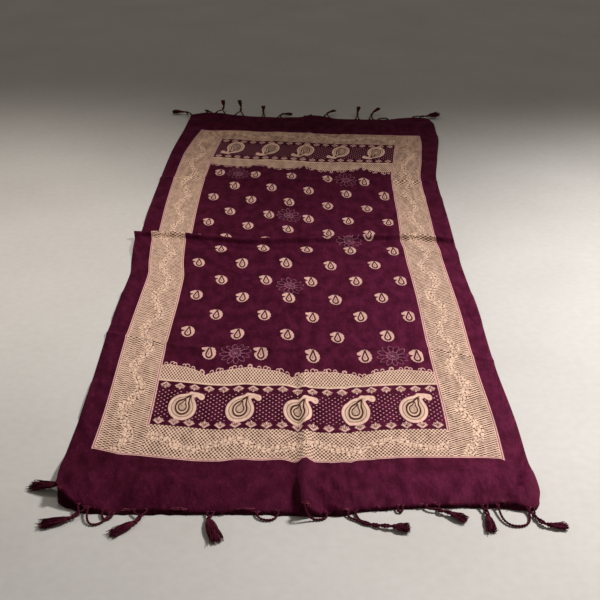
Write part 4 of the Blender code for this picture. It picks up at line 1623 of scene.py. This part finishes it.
@dataclass(frozen=True)
class Motifs:
    """The woven motifs, each a node group that gives distances from its outlines.

    A motif is drawn in its own units, and its unit field is their size on the loom in millimetres, across and
    along. Ovals are half width and half height.
    """

    paisley_unit: tuple = (1.66, 3.03)
    paisley_bulb: tuple = (13.9, 12.4)
    paisley_neck: Capsule = Capsule(2.4, 4.8, 9.4, 7.4, 12.4, 3.4)
    paisley_arm: Capsule = Capsule(7.4, 12.6, 3.3, 13.2, 13.6, 2.1)
    paisley_hook: Capsule = Capsule(13.2, 13.6, 2.1, 17.6, 11.8, 3.1)
    drop_radius: float = 6.7
    drop_tip: Capsule = Capsule(1.2, 3.2, 4.6, 6.0, 11.0, 0.5)
    heart_radius: float = 3.9
    heart_tip: Capsule = Capsule(0.5, 2.0, 2.6, 2.2, 7.0, 0.4)
    paisley_scale: float = 1.6
    comma_unit: tuple = (1.04, 1.94)
    comma_body: tuple = (11.6, 9.9)
    comma_tail: Capsule = Capsule(-4.0, 6.0, 3.4, -10.6, 4.8, 2.0)
    comma_notch: Capsule = Capsule(-12.5, 0.6, 2.4, -7.0, 1.6, 0.8)
    comma_drop: Capsule = Capsule(0.6, -2.4, 5.3, 1.2, 7.2, 0.8)
    comma_seed: Capsule = Capsule(0.0, -2.4, 1.2, 0.8, 1.4, 0.3)
    comma_bumps: float = 15.0
    comma_bump: float = 0.35
    flower_unit: tuple = (1.0, 1.15)
    petals: int = 12
    petal_turn: float = 0.1
    petal_middle: float = 18.5
    petal_oval: tuple = (9.0, 4.2)
    petal_line: float = 0.34
    ray_turn: float = 0.36
    ray_line: float = 0.42
    ray_reach: float = 12.0
    stitch_scale: tuple = (420, 420, 1)
    lotus_unit: tuple = (1.624, 2.793)
    lotus_foot: tuple = (5.6, 3.5)
    lotus_foot_rise: float = 3.1
    lotus_petal: Capsule = Capsule(2.2, 3.6, 1.5, 3.4, 4.7, 0.8)
    lotus_bud: Capsule = Capsule(0.0, 3.4, 1.5, 0.0, 6.4, 0.6)
    lotus_scale: float = 1.8

    def start(self, name: str, unit_size: tuple, *numbers: str) -> tuple:
        """Start a motif's group.

        Args:
            name: The group's name.
            unit_size: Its unit on the loom in millimetres, across and along.
            numbers: The names of its outputs.

        Returns:
            The group, its input, and the place across and along in its own units.
        """
        group, given = new_group(name, ("Place",), numbers)
        x, y, _ = given["Place"].numbers()
        return group, given["Place"], x * (1000 / unit_size[0]), y * (1000 / unit_size[1])

    def tapered(self, x: Signal, y: Signal, part: Capsule) -> Signal:
        """The distance from a straight line, less a radius that runs evenly from its start to its end.

        Args:
            x: Place across.
            y: Place along.
            part: The capsule.

        Returns:
            The distance from the capsule's outline, below zero inside.
        """
        dx, dy = part.end_x - part.x, part.end_y - part.y
        square = dx * dx + dy * dy
        share = ((x - part.x) * (dx / square)).math("ADD", (y - part.y) * (dy / square), clamp=True)
        off_x, off_y = x - part.x - share * dx, y - part.y - share * dy
        return length(off_x, off_y) - part.radius - share * (part.end_radius - part.radius)

    def oval(self, x: Signal, y: Signal, halves: tuple) -> Signal:
        """How far outside an oval a place is, as a share of the oval's size: zero on its outline."""
        return length(x / halves[0], y / halves[1]) - 1.0

    def paisley(self) -> Tree:
        """A large paisley: a leaning drop whose top turns right and down into a hook, and two inner drops.

        An oval bulb, and a neck, an arm and a hook that are tapered capsules, joined smoothly.

        Returns:
            The group: distances from the whole, from the inner drop and from the heart inside that.
        """
        names = ("Distance", "Drop", "Heart")
        group, _, x, y = self.start("large_paisley", self.paisley_unit, *names)
        x, y = x - 0.6, y + 3.2
        bulb = self.oval(x, y, self.paisley_bulb) * 13.2
        neck = self.tapered(x, y, self.paisley_neck)
        arm = self.tapered(x, y, self.paisley_arm)
        hook = self.tapered(x, y, self.paisley_hook)
        body = smooth_least(bulb, neck, 3.5)
        whole = smooth_least(smooth_least(body, arm, 0.6), hook, 0.3)
        drop = smooth_least(length(x, y - 0.1) - self.drop_radius, self.tapered(x, y, self.drop_tip), 1.2)
        heart = smooth_least(length(x, y - 0.3) - self.heart_radius, self.tapered(x, y, self.heart_tip), 0.8)
        scale = self.paisley_scale
        send(group, Distance=whole * scale, Drop=drop * scale, Heart=heart * scale)
        return group

    def comma(self) -> Tree:
        """A small paisley: an oval body with a short tail and a notch on its left, and an upright inner drop.

        Returns:
            The group: distances from the whole, from the inner drop and from the seed inside that.
        """
        group, _, x, y = self.start("small_paisley", self.comma_unit, "Distance", "Drop", "Seed")
        round_body = self.oval(x - 0.6, y + 0.4, self.comma_body) * 10.6
        tail = self.tapered(x, y, self.comma_tail)
        notch = self.tapered(x, y, self.comma_notch)
        bumps = (y.math("ARCTAN2", x) * self.comma_bumps).cosine() * self.comma_bump
        whole = smooth_least(round_body + bumps, tail, 1.0).most(notch * -1.0)
        drop = self.tapered(x, y, self.comma_drop)
        seed = self.tapered(x, y, self.comma_seed)
        send(group, Distance=whole, Drop=drop, Seed=seed)
        return group

    def flower(self) -> Tree:
        """An outline flower: looped petals about a centre of fine rays, in broken stitches.

        Returns:
            The group: a mask of the flower's line.
        """
        group, place, x, y = self.start("outline_flower", self.flower_unit, "Line")
        radius = length(x, y)
        turn = y.math("ARCTAN2", x)
        slice_angle = 2 * math.pi / self.petals
        angle = turn.centred(slice_angle, self.petal_turn)
        along, aside = radius * angle.cosine(), radius * angle.sine()
        petal = self.oval(along - self.petal_middle, aside, self.petal_oval)
        outline = (petal * self.petal_oval[1]).size() - self.petal_line
        ray = turn.centred(slice_angle, self.ray_turn)
        rays = ((radius * ray.sine()).size() - self.ray_line).most(radius - self.ray_reach)
        broken = place.noise(self.stitch_scale, 1.0).ramp(0.4, 0.56)
        send(group, Line=outline.least(rays).inside(0.8) * (broken * 0.85 + 0.15))
        return group

    def lotus(self) -> Tree:
        """A lotus crown: a wide diamond with two petals and a bud on its upper side, and lines between them.

        Returns:
            The group: distances from the crown and from the lines on it.
        """
        group, _, x, y = self.start("lotus_crown", self.lotus_unit, "Distance", "Seams")
        x = x.size()
        wide, tall = self.lotus_foot
        foot = (x / wide + (y - self.lotus_foot_rise).size() / tall - 1.0) * 2.7
        petal = self.tapered(x, y, self.lotus_petal)
        bud = self.tapered(x, y, self.lotus_bud)
        seams = ((x * 0.95 - y + 1.6).size() - 0.42).most(1.6 - y)
        seams = seams.least(((x * 2.6 - y + 1.8).size() - 0.95).most(2.2 - y))
        send(group, Distance=foot.least(petal).least(bud) * self.lotus_scale, Seams=seams * self.lotus_scale)
        return group


@dataclass(frozen=True)
class WovenLayout:
    """Where the woven bands and motifs lie, in metres on the loom."""

    length: float = WOVEN_LENGTH
    outer_side: float = OUTER_SIDE
    inner_side: float = INNER_SIDE
    outer_end: float = 0.112
    strip_low: float = 0.19
    strip_high: float = 0.319
    side_specks: tuple = (0.0112, 0.0062)
    end_specks: tuple = (0.006, 0.009)
    side_vine_middle: float = 0.274
    side_vine_left: float = 0.29
    side_vine_shift: float = -0.04
    side_vine_pitch: float = 0.131
    side_vine_sway: float = 0.01
    end_vine_middle: float = 0.149
    end_vine_start: float = 0.1
    end_vine_pitch: float = 0.123
    end_vine_sway: float = 0.0115
    vine_half: float = 0.004
    vine_ragged: float = 0.0095
    scallop_pitch: float = 0.1335
    scallop_start: float = -0.021
    scallop_valley: float = 0.0265
    scallop_rise: float = 0.0235
    scallop_specks: tuple = (0.0054, 0.0108)
    buti_first: float = -0.1562
    buti_pitch: float = 0.0919
    row_first: float = 0.416
    row_pitch: float = 0.0714
    paisley_first: float = -0.1885
    paisley_pitch: float = 0.0936
    lotus_pitch: float = 0.0246
    lotus_inset: float = 0.003
    dot_specks: tuple = (0.0102, 0.0116)
    dot_inset: float = 0.024
    flower_inset: float = 0.04
    edge: float = 0.0007


class LoomPlace(NamedTuple):
    """A point of the cloth as the pattern reads it, in metres on the loom."""

    woven: Place  # across and along
    u: Signal  # across from the middle line
    v: Signal  # along from the near hem
    end: Signal  # along from the nearer hem
    facing: Signal  # across, turned about in the far half
    side: Signal  # distance from the middle line
    outer: Signal  # distance outside the frame's outer edge
    inner: Signal  # distance outside its inner edge
    in_outer: Signal  # a mask of all inside the outer edge
    in_inner: Signal  # a mask of all inside the inner edge
    in_strip: Signal  # a mask of the paisley strip
    is_side: Signal  # a mask of the side borders
    ragged: Signal  # noise that makes edges uneven
    holes: Signal  # a mask of small gaps between stitches


class Layer(NamedTuple):
    """One part of the pattern: where it covers those under it, its gold, and the gold's tone and pinkness.

    loose is how much loose pale thread lies on it.
    """

    mask: Signal
    gold: Signal
    tone: Signal
    pink: Signal
    loose: "Signal | float" = 0.0


@dataclass(frozen=True)
class Brocade:
    """The woven pattern as one node group.

    It puts out how much gold lies on top, the gold's tone, its pinkness, and where a loose pale thread shows.
    """

    layout: WovenLayout = field(default_factory=WovenLayout)
    motifs: Motifs = field(default_factory=Motifs)

    def wave(self, place: Signal, pitch: float) -> Signal:
        """A cosine along a line, with a crest at zero and one in every pitch."""
        return (place * (2 * math.pi / pitch)).cosine()

    def speck_net(self, x: Signal, y: Signal, pitches: tuple) -> Signal:
        """A net of specks in staggered rows: the product of two cosines, 1 at each speck."""
        return self.wave(x, pitches[0]) * self.wave(y, pitches[1])

    def curl(self, x: Signal, rise: Signal, pitch: float, wide: float, tall: float) -> Signal:
        """A row of open rings that stand on an edge.

        Args:
            x: Place along the edge.
            rise: Height above the edge.
            pitch: The distance from ring to ring.
            wide: A ring's half width.
            tall: A ring's half height.

        Returns:
            A mask of the rings' thread.
        """
        aside, over = x.centred(pitch) / wide, (rise - tall * 0.75) / tall
        thread = ((length(aside, over) - 1.0) * wide).size() - 0.0007
        return thread.most((aside * -0.5 - over - 0.55) * wide).inside(self.layout.edge)

    def loom_place(self, woven: Place) -> LoomPlace:
        """Work out all the ways in which the pattern reads a place.

        Args:
            woven: The place across and along the loom.

        Returns:
            The place.
        """
        lay = self.layout
        u, v, _ = woven.numbers()
        far = v.math("GREATER_THAN", lay.length / 2)
        end = v + far * (v * -2.0 + lay.length)
        facing = u * (far * -2.0 + 1.0)
        side = u.size()
        outer = (side - lay.outer_side).most(lay.outer_end - end)
        inner = (side - lay.inner_side).most(lay.strip_low - end)
        in_outer, in_inner = outer.inside(lay.edge), inner.inside(lay.edge)
        in_strip = in_inner * (end - lay.strip_high).inside(lay.edge)
        is_side = (side - lay.inner_side).ramp(-0.0002, 0.0002)
        holes = woven.noise((300, 190, 1), 1.0).ramp(0.54, 0.63)
        ragged = woven.noise((120, 80, 1), 0.0)
        masks = (in_outer, in_inner, in_strip, is_side)
        return LoomPlace(woven, u, v, end, facing, side, outer, inner, *masks, ragged, holes)

    def frame(self, at: LoomPlace) -> Layer:
        """The side borders and end bands: a speck net, with a leafy vine that sways down the middle of each.

        The vine's middle is a cosine of the place along the border, and noise makes its width ragged.

        Args:
            at: The place.

        Returns:
            The frame.
        """
        lay, group = self.layout, at.u.tree
        is_right = at.u.ramp(-0.001, 0.001)
        side_net = self.speck_net(at.u, at.v, lay.side_specks)
        end_net = self.speck_net(at.u, at.v, lay.end_specks)
        specks = blend(end_net, side_net, at.is_side).ramp(-0.22, 0.3)
        start = is_right * lay.side_vine_shift + lay.side_vine_left
        side_sway = self.wave(at.v - start, lay.side_vine_pitch) * lay.side_vine_sway
        off_side = at.side - lay.side_vine_middle + side_sway
        end_sway = self.wave(at.facing + lay.end_vine_start, lay.end_vine_pitch) * lay.end_vine_sway
        off_end = at.end - lay.end_vine_middle - end_sway
        off_vine = blend(off_end, off_side, at.is_side).size()
        leaves = at.woven.cells((150, 100, 1)).ramp(0.03, 0.16)
        patchy = at.woven.noise((105, 66, 1), 2.0).ramp(0.32, 0.68)
        on_vine = (off_vine - lay.vine_half - at.ragged * lay.vine_ragged).inside(0.0016)
        rim = (at.outer * -1.0).least(blend(Signal(group, 1.0), at.inner, at.is_side))
        rim_dark = rim.between(0.0018, 0.0032, lay.edge)
        rim_plain = (rim - 0.0048).inside(lay.edge)
        speck_tone = 1.06 - specks * 0.95
        leaf_tone = leaves * 0.62 + 0.52 - at.holes * 0.8
        tone = blend(speck_tone, leaf_tone, on_vine) + patchy * 0.26 - 0.17
        tone = blend(tone, 1.0, rim_plain) - rim_dark * 0.85
        mask = at.in_outer * (1.0 - at.in_inner)
        return Layer(mask, mask, tone, rim_plain * mask)

    def strip(self, at: LoomPlace) -> Layer:
        """The strip of large paisleys on pin-dotted ground, between two rows of lotus crowns.

        Args:
            at: The place.

        Returns:
            The layer.
        """
        lay, group = self.layout, at.u.tree
        middle = (lay.strip_low + lay.strip_high) / 2
        spot = join(at.facing.centred(lay.paisley_pitch, lay.paisley_first), at.end - middle)
        big = place_group(group, self.motifs.paisley(), Place=spot)
        whole, drop, heart = big["Distance"], big["Drop"], big["Heart"]
        paisley = whole.inside(0.9)
        lines = whole.between(-5.9, -4.5, 0.7) * 0.6 + whole.between(-9.0, -8.0, 0.7) * 0.3
        lines = lines + drop.between(-1.3, 1.3, 0.7) * 0.97 + heart.between(-0.9, 0.9, 0.7) * 0.85
        fill = at.woven.noise((420, 260, 1), 1.0).ramp(0.35, 0.6) * heart.inside(0.8)
        paisley_tone = 0.86 + (whole + 4.0).ramp(0.0, 1.0) * 0.14 - lines - fill * 0.45
        to_edge = (at.end - middle).size() * -1.0 + (lay.strip_high - lay.strip_low) / 2
        spot = join(at.facing.centred(lay.lotus_pitch, 0.0), to_edge - lay.lotus_inset)
        crown = place_group(group, self.motifs.lotus(), Place=spot)
        lotus = crown["Distance"].inside(0.9)
        lotus_tone = 0.92 - (crown["Seams"].inside(0.5) * 0.7 + at.holes * 0.55) * lotus
        dots = self.speck_net(at.u, at.v, lay.dot_specks).ramp(0.62, 0.88)
        dots = dots * (to_edge - lay.dot_inset).ramp(0.0, 0.001) * (whole - 1.6).ramp(0.0, 0.5)
        pink = (lotus * 0.8).most(dots).most(paisley * (whole + 3.0).ramp(0.0, 1.0) * 0.5)
        tone = blend(lotus_tone, paisley_tone, paisley)
        gold = at.in_strip * paisley.most(lotus).most(dots)
        return Layer(at.in_strip, gold, tone, pink * at.in_strip, dots * at.in_strip * 0.6)

    def scallops(self, at: LoomPlace) -> Layer:
        """The scalloped band that stands on the strip, and the curls along its edge.

        Each arch is a power of a half sine, and a slow cosine makes the arches' widths unlike.

        Args:
            at: The place.

        Returns:
            The layer.
        """
        lay = self.layout
        uneven = self.wave(at.facing + 0.009, 0.272) * -0.0075 - 0.0045
        run = at.facing + uneven - lay.scallop_start
        arch = (run * (math.pi / lay.scallop_pitch)).sine().size().math("POWER", 0.7)
        off = at.end - lay.strip_high - lay.scallop_valley - arch * lay.scallop_rise
        outside_strip = at.in_inner * (1.0 - at.in_strip)
        mask = off.inside(lay.edge) * outside_strip
        hatch = self.speck_net(at.u, at.v, lay.scallop_specks).ramp(-0.22, 0.32)
        rim = (off + 0.0014).ramp(0.0, 0.0006)
        low_rim = (at.end - lay.strip_high - 0.005).inside(lay.edge)
        tone = blend(blend(1.02 - hatch * 0.94, 0.92, low_rim), 1.0, rim)
        small = self.curl(at.facing, off, 0.0163, 0.0028, 0.0048)
        tall = self.curl(at.facing * -1.0, off, 0.0271, 0.0037, 0.0062)
        crumbs = (off - at.ragged * 0.0045 + 0.0012).inside(lay.edge)
        fringe = small.most(tall).most(crumbs) * (1.0 - mask) * outside_strip
        return Layer(mask, mask.most(fringe), tone, (fringe * 0.9).most(rim * mask * 0.6))

    def butis(self, at: LoomPlace) -> Layer:
        """The field's small paisleys, in a half-drop.

        Args:
            at: The place.

        Returns:
            The layer.
        """
        lay, group = self.layout, at.u.tree
        row = ((at.v - lay.row_first) / lay.row_pitch + 0.5).math("FLOOR")
        odd = (row * 0.5).fract() * 2.0
        slid = at.u - lay.buti_first + odd * (lay.buti_pitch / 2)
        spot = join(slid.centred(lay.buti_pitch), at.v.centred(lay.row_pitch, lay.row_first))
        small = place_group(group, self.motifs.comma(), Place=spot)
        in_field = (at.side - lay.inner_side + 0.012).inside(lay.edge)
        in_field = in_field * (lay.row_first - 0.034 - at.end).inside(lay.edge)
        mask = small["Distance"].inside(0.9) * in_field
        tone = 0.84 - small["Drop"].between(-1.5, 1.3, 0.7) * 0.95 - small["Seed"].inside(0.7) * 0.6
        return Layer(mask, mask, tone, mask * 0.85)

    def build(self) -> Tree:
        """Build the group: the strip and the band, then the small paisleys and the frame over them."""
        group, given = new_group("brocade", ("Woven", "Flower"), ("Gold", "Tone", "Pink", "Thread"))
        at = self.loom_place(given["Woven"])
        strip, band, small, border = self.strip(at), self.scallops(at), self.butis(at), self.frame(at)
        gold = blend((strip.gold + band.gold).most(small.gold), 1.0, border.mask) * at.in_outer
        tone, pink = strip.tone, strip.pink
        for layer in (band, small, border):
            tone, pink = blend(tone, layer.tone, layer.mask), pink.most(layer.pink)
        flower = place_group(group, self.motifs.flower(), Place=given["Flower"])["Line"]
        in_field = (self.layout.strip_high + self.layout.flower_inset - at.end).inside(self.layout.edge)
        loose = (flower * at.in_inner * in_field).most(strip.loose)
        send(group, Gold=gold, Tone=tone, Pink=pink, Thread=loose)
        return group


@dataclass(frozen=True)
class ClothFinish:
    """The stole's finish: a soft maroon weave with slubs, and the brocade's gold weft over it."""

    ground: tuple = (0.128, 0.0132, 0.0445)
    ground_dark: tuple = (0.044, 0.0024, 0.012)
    # Painted shade of small wrinkles, laid in soft blotches
    painted_wrinkle_shade: tuple = (0.016, 0.0008, 0.004)
    lint: tuple = (0.26, 0.048, 0.115)
    # Painted shade for the turned-down face of the near hem
    turned: tuple = (0.01, 0.0008, 0.0026)
    gold_bright: tuple = (0.96, 0.655, 0.485)
    # Painted sheen: a brighter gold for the far half
    gold_far_painted_sheen: tuple = (1.0, 0.66, 0.465)
    gold_dark: tuple = (0.072, 0.021, 0.016)
    pink: tuple = (0.9, 0.47, 0.45)
    thread: tuple = (0.56, 0.24, 0.33)
    roughness: float = 0.7
    gold_gloss: float = 0.14
    sheen: float = 0.1
    sheen_roughness: float = 0.4
    sheen_tint: tuple = (1.0, 0.14, 0.34, 1.0)
    specular: float = 0.03
    relief: float = 0.35
    relief_depth: float = 0.001
    crumple: float = 34.0
    pinch: float = 1.2

    def ground_colour(self, woven: Place, grain: Signal) -> Socket:
        """The maroon ground: its grain, with painted light towards the right of the near part, painted shade
        at the near left, soft blotches of painted wrinkle shade, pale lint, and painted shade on the
        turned-down hem.

        Args:
            woven: Places on the loom.
            grain: The cloth's uneven grain, from 0 to 1.

        Returns:
            The colour.
        """
        u, v, _ = woven.numbers()
        # Painted light: the ground grows lighter towards the right, less so in the far half, where the light
        # falls.
        painted_light_right = u.ramp(-0.1, 0.38) * (1.0 - v.ramp(0.8, 1.4) * 0.85)
        shaded = u.ramp(-0.12, -0.36) * v.ramp(0.6, 0.1) * 0.12
        # Soft blotches: their low parts get painted wrinkle shade, their high parts a lighter ground
        patches = woven.noise((50, 30, 1), 4.0).ramp(0.36, 0.64)
        fine = woven.noise((160, 420, 1), 1.0) * 0.5
        fine = (fine + woven.noise((480, 90, 1), 1.0) * 0.5).ramp(0.3, 0.7)
        # The grain, with the blotches' painted wrinkle shade
        worn = grain * 0.3 + patches * 0.2 + 0.03
        colour = mix(worn - shaded + painted_light_right * 0.66, self.ground_dark, self.ground)
        # Painted wrinkle shade in the low parts of the blotches
        colour = mix((1.0 - patches) * (1.0 - fine * 0.6) * 0.5, colour, self.painted_wrinkle_shade)
        colour = mix(fine.ramp(0.5, 1.0) * (patches * 0.16 + 0.04), colour, self.lint)
        # Painted shade: the turned-down face of the near hem goes near black
        return mix(v.ramp(-0.0005, -0.004) * 0.75, colour, self.turned)

    def gold_colour(self, woven: Place, grain: Signal, pattern: dict[str, Signal]) -> Socket:
        """The gold weft: dark to bright by the pattern's tone, pink where it says, blotched in the far half
        and brighter there with painted sheen.

        Args:
            woven: Places on the loom.
            grain: The cloth's uneven grain, from 0 to 1.
            pattern: The brocade's outputs.

        Returns:
            The colour.
        """
        _, v, _ = woven.numbers()
        beyond = v.ramp(0.9, 1.6)
        # Painted sheen: the gold is brighter in the far half
        bright = mix(beyond, self.gold_bright, self.gold_far_painted_sheen)
        blotch = woven.noise((70, 26, 1), 2.0).ramp(0.3, 0.7) * 0.5 - 0.25
        tone = pattern["Tone"] * (grain * 0.12 + 0.9) + blotch * beyond
        gold = mix(tone, self.gold_dark, bright)
        pink = mix(pattern["Tone"], self.gold_dark, self.pink)
        return mix(pattern["Pink"] * 0.75, gold, pink)

    def height(self, woven: Place, slub: Signal, gold: Signal) -> Signal:
        """The fine relief: threads and slubs, the gold's rise, soft crumples and pinched creases.

        Args:
            woven: Places on the loom.
            slub: The threads' uneven thickness.
            gold: Where the gold lies on top.

        Returns:
            The height, in the unit that the bump's distance gives.
        """
        weave = woven.noise((900, 500, 1), 0.0) * 0.4 + gold * 0.6 + slub
        crumple = woven.noise((26, 13, 1), 3.5)
        pinched = (woven.noise((13, 5, 1), 2.0) - 0.5).size().ramp(0.0, 0.05)
        return weave + crumple * self.crumple + pinched * self.pinch

    def build(self) -> bpy.types.Material:
        """Build the material: the ground, the gold over it, the pale thread over both, and the relief."""
        gloss = {"Sheen Weight": self.sheen, "Sheen Roughness": self.sheen_roughness}
        gloss |= {"Sheen Tint": self.sheen_tint, "Specular IOR Level": self.specular}
        material, tree, shader = start_material("maroon_brocade", gloss)
        maps = []
        for name in ("woven", "flower"):
            node = tree.nodes.new("ShaderNodeUVMap")
            node.uv_map = name
            maps.append(Place(tree, node.outputs[0]))
        woven, flower = maps
        pattern = place_group(tree, Brocade().build(), Woven=woven, Flower=flower)
        slub = woven.noise((24, 160, 1), 2.0) * 0.5
        slub = slub + woven.noise((150, 30, 1), 2.0) * 0.5
        mottle = woven.noise((9, 7, 1), 3.0)
        grain = slub.ramp(0.3, 0.7) * 0.6 + mottle.ramp(0.3, 0.7) * 0.4
        ground = self.ground_colour(woven, grain)
        colour = mix(pattern["Gold"], ground, self.gold_colour(woven, grain, pattern))
        colour = mix(pattern["Thread"] * 0.85, colour, self.thread)
        tree.links.new(colour, shader.inputs["Base Color"])
        rough = pattern["Gold"] * -self.gold_gloss + self.roughness
        tree.links.new(rough.source, shader.inputs["Roughness"])
        bump = tree.nodes.new("ShaderNodeBump")
        bump.inputs["Strength"].default_value = self.relief
        bump.inputs["Distance"].default_value = self.relief_depth
        tree.links.new(self.height(woven, slub, pattern["Gold"]).source, bump.inputs["Height"])
        tree.links.new(bump.outputs[0], shader.inputs["Normal"])
        return material


@dataclass(frozen=True)
class ThreadFinish:
    """Dark maroon thread, each strand in its own tone: dark at 0, light at 1, worn pale at 2."""

    light: tuple = (0.12, 0.011, 0.032)
    dark: tuple = (0.032, 0.0028, 0.009)
    worn: tuple = (0.42, 0.11, 0.17)
    roughness: float = 0.85
    specular: float = 0.12

    def build(self) -> bpy.types.Material:
        """Build the material."""
        gloss = {"Roughness": self.roughness, "Specular IOR Level": self.specular}
        material, tree, shader = start_material("maroon_thread", gloss)
        node = tree.nodes.new("ShaderNodeAttribute")
        node.attribute_name = "tone"
        tone = Signal(tree, node.outputs["Fac"])
        colour = mix(tone, self.dark, self.light)
        colour = mix((tone - 1.0).most(0.0), colour, self.worn)
        tree.links.new(colour, shader.inputs["Base Color"])
        return material


@dataclass(frozen=True)
class FloorFinish:
    """A pale plastered floor, with broad soft patches and a fine mottle."""

    light: tuple = (0.735, 0.705, 0.666)
    dark: tuple = (0.635, 0.603, 0.563)
    patch_scale: tuple = (3.5, 3.5, 1)
    mottle_scale: tuple = (70, 70, 1)
    roughness: float = 0.8

    def build(self) -> bpy.types.Material:
        """Build the material."""
        material, tree, shader = start_material("pale_floor", {"Roughness": self.roughness})
        where = Place(tree, tree.nodes.new("ShaderNodeTexCoord").outputs["Object"])
        patches = where.noise(self.patch_scale, 5.0) * 0.6
        patches = patches + where.noise(self.mottle_scale, 3.0) * 0.4
        colour = mix(patches.ramp(0.3, 0.7), self.dark, self.light)
        tree.links.new(colour, shader.inputs["Base Color"])
        return material


@dataclass(frozen=True)
class Lamp:
    """One soft-edged spot lamp: where it hangs, the point that it faces, and its light."""

    name: str
    place: tuple
    aim: tuple
    power: float
    spread: float
    tint: tuple
    radius: float = 0.26

    def build(self) -> None:
        """Hang the lamp and turn it to its aim."""
        light = bpy.data.lights.new(self.name, "SPOT")
        light.shadow_soft_size = self.radius
        light.spot_size = self.spread
        light.spot_blend = 1.0
        light.energy = self.power
        light.color = self.tint
        holder = bpy.data.objects.new(self.name, light)
        bpy.context.scene.collection.objects.link(holder)
        holder.location = self.place
        holder.rotation_euler = (Vector(self.aim) - Vector(self.place)).to_track_quat("-Z", "Y").to_euler()


@dataclass
class Studio:
    """The floor, the lights and the camera."""

    floor_half: float = 5.0
    floor_steps: int = 9
    camera_place: tuple = (-0.009, -1.892, 0.9058)
    camera_focal: float = 57.6
    camera_drop: float = math.atan2(530, 960)
    key: Lamp = Lamp(
        name="key",
        place=(1.966, 0.138, 2.332),
        aim=(1.177, -0.807, 0.0),
        power=465.0,
        spread=math.radians(80.4),
        tint=(1.0, 0.988, 0.982),
    )
    wash: Lamp = Lamp(
        name="wash",
        place=(-0.518, 0.094, 1.689),
        aim=(-0.839, 0.01, 0.0),
        power=66.0,
        spread=math.radians(73.2),
        tint=(1.0, 0.96, 0.915),
    )
    sky_tint: tuple = (1.0, 0.93, 0.84, 1.0)
    sky_strength: float = 0.15

    def build(self) -> None:
        """Build the whole studio."""
        self.floor()
        self.lights()
        self.camera()

    def floor(self) -> None:
        """A flat floor under the stole."""
        t = np.linspace(-self.floor_half, self.floor_half, self.floor_steps)
        x, y = np.meshgrid(t, t)
        points = np.stack([x.ravel(), y.ravel(), np.zeros(x.size)], axis=1)
        faces = grid_faces(self.floor_steps, self.floor_steps)
        floor = new_object("studio_floor", mesh_of("studio_floor", points, [faces]))
        floor.data.materials.append(FloorFinish().build())

    def lights(self) -> None:
        """A key light from the right, a soft wash over the floor on the left, and a dim warm sky."""
        self.key.build()
        self.wash.build()
        world = bpy.data.worlds.new("soft_room")
        bpy.context.scene.world = world
        world.use_nodes = True
        sky = world.node_tree.nodes["Background"]
        sky.inputs["Color"].default_value = self.sky_tint
        sky.inputs["Strength"].default_value = self.sky_strength

    def camera(self) -> None:
        """A camera that looks along the stole from just past its near hem."""
        lens = bpy.data.cameras.new("camera")
        lens.lens = self.camera_focal
        lens.sensor_width = 36.0
        camera = bpy.data.objects.new("camera", lens)
        bpy.context.scene.collection.objects.link(camera)
        camera.location = self.camera_place
        camera.rotation_euler = (math.pi / 2 - self.camera_drop, 0.0, 0.0)
        bpy.context.scene.camera = camera


def main() -> None:
    """Build the cloth, the fringe and the studio, in that order, and log each piece's faces."""
    logging.basicConfig(level=logging.INFO, format="%(message)s")
    bpy.context.scene.view_settings.view_transform = "Standard"
    cloth = StoleCloth().build()
    cloth.data.materials.append(ClothFinish().build())
    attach(cloth, "root")
    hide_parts("stole_panel")
    log.info("%s: %d faces", cloth.name, len(cloth.data.polygons))
    thread = ThreadFinish().build()
    for piece, node in Fringe().build():
        piece.data.materials.append(thread)
        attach(piece, "root")
        if node:
            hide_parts(node)
        log.info("%s: %d faces", piece.name, len(piece.data.polygons))
    Studio().build()
    log.info("studio: floor, two lamps and camera")


if __name__ == "__main__":
    main()
